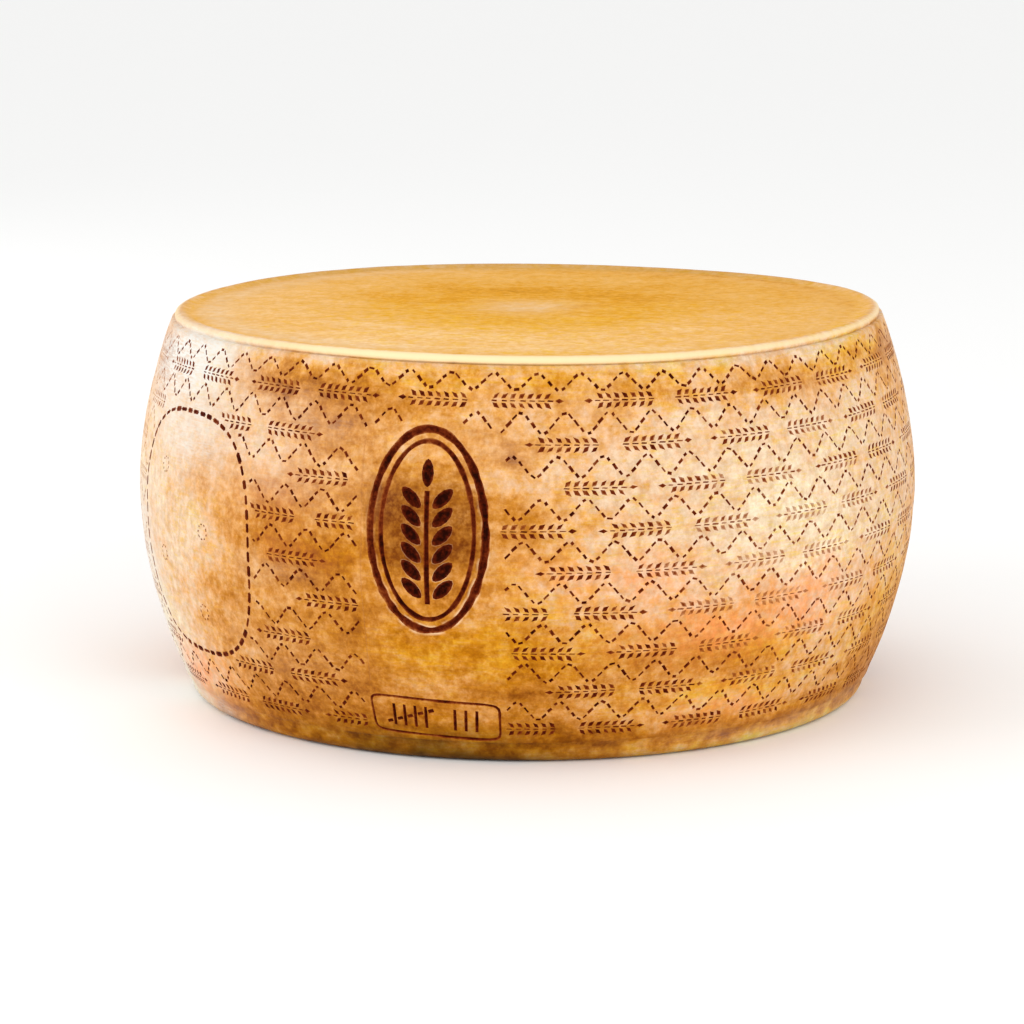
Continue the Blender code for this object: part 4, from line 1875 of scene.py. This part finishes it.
@dataclass(frozen=True)
class RindFinish:
    """Oiled, aged rind of a brined hard cheese: waxy, mottled cream to amber, satin.

    The brine and months of brushing leave a tight translucent skin, so it has a soft broad
    gloss, clouds a few centimetres across, streaks along the mould band and fine pores.
    """

    name: str = "oiled_aged_rind"
    tones: Stops = (
        (0.00, "f4e6c8"), (0.10, "eed9ba"), (0.22, "e7caac"), (0.34, "e4c09d"), (0.44, "e2b48a"),
        (0.53, "e0aa72"), (0.62, "d99c59"), (0.71, "cd8b43"), (0.80, "bf7b2b"), (0.90, "ac6920"),
        (1.00, "925215"),
    )
    golds: Stops = (
        (0.00, "f8dca4"), (0.25, "f0c68c"), (0.45, "e8b368"), (0.60, "e3aa50"), (0.75, "dfa038"),
        (0.85, "d99720"), (0.95, "cb8a1f"), (1.00, "b97c1c"),
    )
    inks: Stops = (
        (0.00, "c98e55"), (0.45, "8e4719"), (0.62, "6a260a"), (0.80, "470f02"), (1.00, "1f0301"),
    )
    band_draw: float = 7.0
    noises: tuple[Noise, ...] = (
        Noise("cloud", 34.0, 7.0, 0.66),
        Noise("mottle", 6.0, 5.0, 0.66),
        Noise("fleck", 2.4, 3.0, 0.60),
        Noise("pore", 1.2, 2.0, 0.50),
        Noise("grime", 4.6, 5.0, 0.70),
        Noise("streak", 40.0, 7.0, 0.68, drawn=True),
        Noise("sweet", 9.0, 5.0, 0.70, drawn=True),
        Noise("scratch", 7.0, 4.0, 0.75, drawn=True),
    )
    spreads: tuple[Spread, ...] = (
        Spread("blotch", "mottle", (0.39, 0.61, 0.0, 1.0)),
        Spread("satin", "mottle", (0.30, 0.70, 0.36, 0.52)),
        Spread("spots", "mottle", (0.35, 0.65, 0.4, 1.7), "blush"),
        Spread("open_grime", "gold", (0.0, 1.0, 1.0, 0.4)),
        Spread("stain", "grime", (0.40, 0.66, 0.0, 0.42), "open_grime"),
        # Scratchy white where the whitish film and the painted glare lie.
        Spread("frost_and_glare", "scratch", (0.36, 0.64, 0.55, 1.25), "bloom"),
        Spread("smear", "fleck", (0.36, 0.64, 0.7, 1.3), "char"),
        Spread("burnt", "fleck", (0.30, 0.70, 0.78, 1.16), "ink"),
        Spread("burnt_cover", "burnt", (0.0, 0.55, 0.0, 1.0)),
    )
    toast_swings: Swings = (("cloud", 0.24), ("streak", 0.32), ("blotch", 0.17), ("fleck", 0.31))
    honey_swings: Swings = (("sweet", 2.8), ("blotch", 0.30))
    height_swings: Swings = (("mottle", 1.0), ("pore", 0.35))
    # The white coat paints the whitish film and painted glare; the lip coat is the lip's cream with its
    # painted crest highlight; the shade coat is painted shade with grime in it; the burr coat is pale
    # burr with a painted glint.
    coats: tuple[Coat, ...] = (
        Coat("honey", "fffa70", blend=Blend.TINT),
        Coat("spots", "fb9860"),
        Coat("stain", "bdab84", blend=Blend.TINT),
        Coat("frost_and_glare", "dcd9d1"),
        Coat("lip", "f2dbac"),
        Coat("shade", "3c2608", 0.75),
        Coat("smear", "581c05", 0.85),
        Coat("burr", "f4d2aa", 0.85),
    )
    dulling: float = 0.34
    bump_strength: float = 0.5
    bump_mm: float = 0.5
    refraction: float = 1.46
    gloss: float = 0.06
    gloss_tint: str = "ffdfb4"

    def build(self) -> bpy.types.Material:
        """Build the material's nodes.

        Returns:
            The material.
        """
        material = bpy.data.materials.new(self.name)
        material.use_nodes = True
        tree = material.node_tree
        tree.nodes.clear()
        values = self.values(tree)
        marked = add_node(tree, "Math", (values["burnt"], values["gold"]), operation="ADD")
        dull = add_node(tree, "MapRange", (marked, 0.0, 1.0, 0.0, self.dulling))
        height = self.swung(tree, values, 0.0, self.height_swings)
        bump = {"Strength": self.bump_strength, "Distance": self.bump_mm * MM, "Height": height}
        looks = {
            "Base Color": self.colour(tree, values),
            "Roughness": add_node(tree, "Math", (values["satin"], dull), operation="ADD"),
            "Normal": add_node(tree, "Bump", bump),
            "IOR": self.refraction,
            "Specular IOR Level": self.gloss,
            "Specular Tint": linear(self.gloss_tint),
        }
        add_node(tree, "OutputMaterial", {"Surface": add_node(tree, "BsdfPrincipled", looks)})
        return material

    def values(self, tree: bpy.types.NodeTree) -> Values:
        """Every value that the looks are made of: noises, the mesh's tones and their spreads.

        Args:
            tree: the node tree.

        Returns:
            Name of a value to the output that carries it.
        """
        place = add_node(tree, "TexCoord", give="Object")
        drawn = add_node(tree, "Mapping", {"Vector": place, "Scale": (1.0, 1.0, self.band_draw)})
        values = {}
        for noise in self.noises:
            inputs = {"Vector": drawn if noise.drawn else place, "Scale": 1.0 / (noise.size * MM)}
            inputs |= {"Detail": noise.detail, "Roughness": noise.rough}
            values[noise.name] = add_node(tree, "TexNoise", inputs)
        for name in (*MeshParts.NAMES, "ink"):
            values[name] = add_node(tree, "Attribute", give="Fac", attribute_name=name)
        for spread in self.spreads:
            value = add_node(tree, "MapRange", (values[spread.source], *spread.ranges))
            if spread.times:
                value = add_node(tree, "Math", (value, values[spread.times]), operation="MULTIPLY")
            values[spread.name] = value
        for name, swings in (("toast", self.toast_swings), ("honey", self.honey_swings)):
            values[name] = self.swung(tree, values, values[name], swings)
        return values

    @staticmethod
    def swung(
        tree: bpy.types.NodeTree, values: Values, start: bpy.types.NodeSocket | float, swings: Swings
    ) -> bpy.types.NodeSocket:
        """Add noises to a value, each taken round zero and given its swing.

        Args:
            tree: the node tree.
            values: the noises by name.
            start: the value.
            swings: names of noises and their swings.

        Returns:
            The output with the sum.
        """
        for name, swing in swings:
            level = add_node(tree, "Math", (values[name], 0.5), operation="SUBTRACT")
            start = add_node(tree, "Math", (level, swing, start), operation="MULTIPLY_ADD")
        return start

    def colour(self, tree: bpy.types.NodeTree, values: Values) -> bpy.types.NodeSocket:
        """The rind's colour: plain tones, gold over them, then the coats, then the burnt marks.

        Args:
            tree: the node tree.
            values: the values by name.

        Returns:
            The output with the colour.
        """
        ramps = []
        for name, stops in (("toast", self.tones), ("toast", self.golds), ("burnt", self.inks)):
            ramps.append(add_node(tree, "ValToRGB", (values[name],)))
            elements = ramps[-1].node.color_ramp.elements
            for element, (position, tint) in zip(elements, (stops[0], stops[-1])):
                element.position, element.color = position, linear(tint)
            for position, tint in stops[1:-1]:
                elements.new(position).color = linear(tint)
        plain, golden, inked = ramps
        layers = [(values["gold"], golden, Blend.OVER)]
        for coat in self.coats:
            weight = values[coat.weight]
            if coat.most < 1.0:
                weight = add_node(tree, "Math", (weight, coat.most), operation="MULTIPLY")
            layers.append((weight, linear(coat.colour), coat.blend))
        layers.append((values["burnt_cover"], inked, Blend.OVER))
        colour = plain
        for weight, above, blend in layers:
            inputs = {0: weight, 6: colour, 7: above}
            colour = add_node(tree, "Mix", inputs, 2, data_type="RGBA", blend_type=blend.value)
        return colour


# ---------------------------------------------------------------------------------------------
# Studio
# ---------------------------------------------------------------------------------------------


@dataclass(frozen=True)
class SoftBox:
    """A square soft light that looks at the wheel."""

    name: str
    place: tuple[float, float, float]
    size: float
    power: float
    target: tuple[float, float, float] = (0.0, 0.0, 0.11)

    def build(self) -> None:
        """Add the light."""
        light = bpy.data.lights.new(self.name, "AREA")
        light.shape = "SQUARE"
        light.size = self.size
        light.energy = self.power
        lamp = bpy.data.objects.new(self.name, light)
        lamp.location = self.place
        aim = Vector(self.target) - Vector(self.place)
        lamp.rotation_euler = aim.to_track_quat("-Z", "Y").to_euler()
        bpy.context.scene.collection.objects.link(lamp)


@dataclass(frozen=True)
class Studio:
    """A plain pale floor, a pale surround, soft boxes and the photograph's camera."""

    camera_place: tuple[float, float, float] = (0.0, -2.0472, 0.5001)
    camera_pitch: float = 11.151
    camera_swing: float = 0.239
    lens_mm: float = 128.47
    sensor_mm: float = 36.0
    floor_half: float = 14.0
    floor_up: float = -0.0004
    floor_colour: str = "f8f8f7"
    floor_roughness: float = 0.9
    surround: float = 0.96
    lights: tuple[SoftBox, ...] = (
        SoftBox("left_softbox", (-1.8, -0.7, 0.9), 1.2, 11.0),
        SoftBox("right_softbox", (1.3, -2.0, 1.2), 1.6, 19.2),
        SoftBox("rim_softbox", (-1.7, 1.5, 0.5), 0.9, 6.0),
    )

    def build(self) -> None:
        """Add the floor, surround, lights and camera."""
        bpy.context.scene.view_settings.view_transform = "Standard"
        self.build_floor()
        self.build_surround()
        for light in self.lights:
            light.build()
        self.build_camera()

    def build_floor(self) -> None:
        """Add the floor just under the wheel's foot."""
        half = self.floor_half
        corners = ((-half, -half), (half, -half), (half, half), (-half, half))
        mesh = bpy.data.meshes.new("floor")
        mesh.from_pydata([(x, y, self.floor_up) for x, y in corners], [], [(0, 1, 2, 3)])
        material = bpy.data.materials.new("matt_white_paper")
        material.use_nodes = True
        shader = material.node_tree.nodes["Principled BSDF"]
        shader.inputs["Base Color"].default_value = linear(self.floor_colour)
        shader.inputs["Roughness"].default_value = self.floor_roughness
        mesh.materials.append(material)
        floor = bpy.data.objects.new("floor", mesh)
        bpy.context.scene.collection.objects.link(floor)

    def build_surround(self) -> None:
        """Light the scene evenly from all round."""
        world = bpy.data.worlds.new("pale_surround")
        world.use_nodes = True
        background = world.node_tree.nodes["Background"]
        background.inputs["Color"].default_value = (1.0, 1.0, 1.0, 1.0)
        background.inputs["Strength"].default_value = self.surround
        bpy.context.scene.world = world

    def build_camera(self) -> None:
        """Add the camera that was fitted to the photograph."""
        camera = bpy.data.cameras.new("camera")
        camera.lens = self.lens_mm
        camera.sensor_width = self.sensor_mm
        viewer = bpy.data.objects.new("camera", camera)
        viewer.location = self.camera_place
        tilt = math.radians(90.0 - self.camera_pitch)
        viewer.rotation_euler = (tilt, 0.0, math.radians(self.camera_swing))
        bpy.context.scene.collection.objects.link(viewer)
        bpy.context.scene.camera = viewer


def main() -> None:
    """Build the rind, dress it, and set up the studio."""
    logging.basicConfig(level=logging.INFO, format="%(name)s: %(message)s")
    rind = Rind().build()
    rind.data.materials.append(RindFinish().build())
    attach(rind, "root")
    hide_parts(NODE)
    LOG.info("%s rides on root and replaces %s", rind.name, NODE)
    Studio().build()


if __name__ == "__main__":
    main()
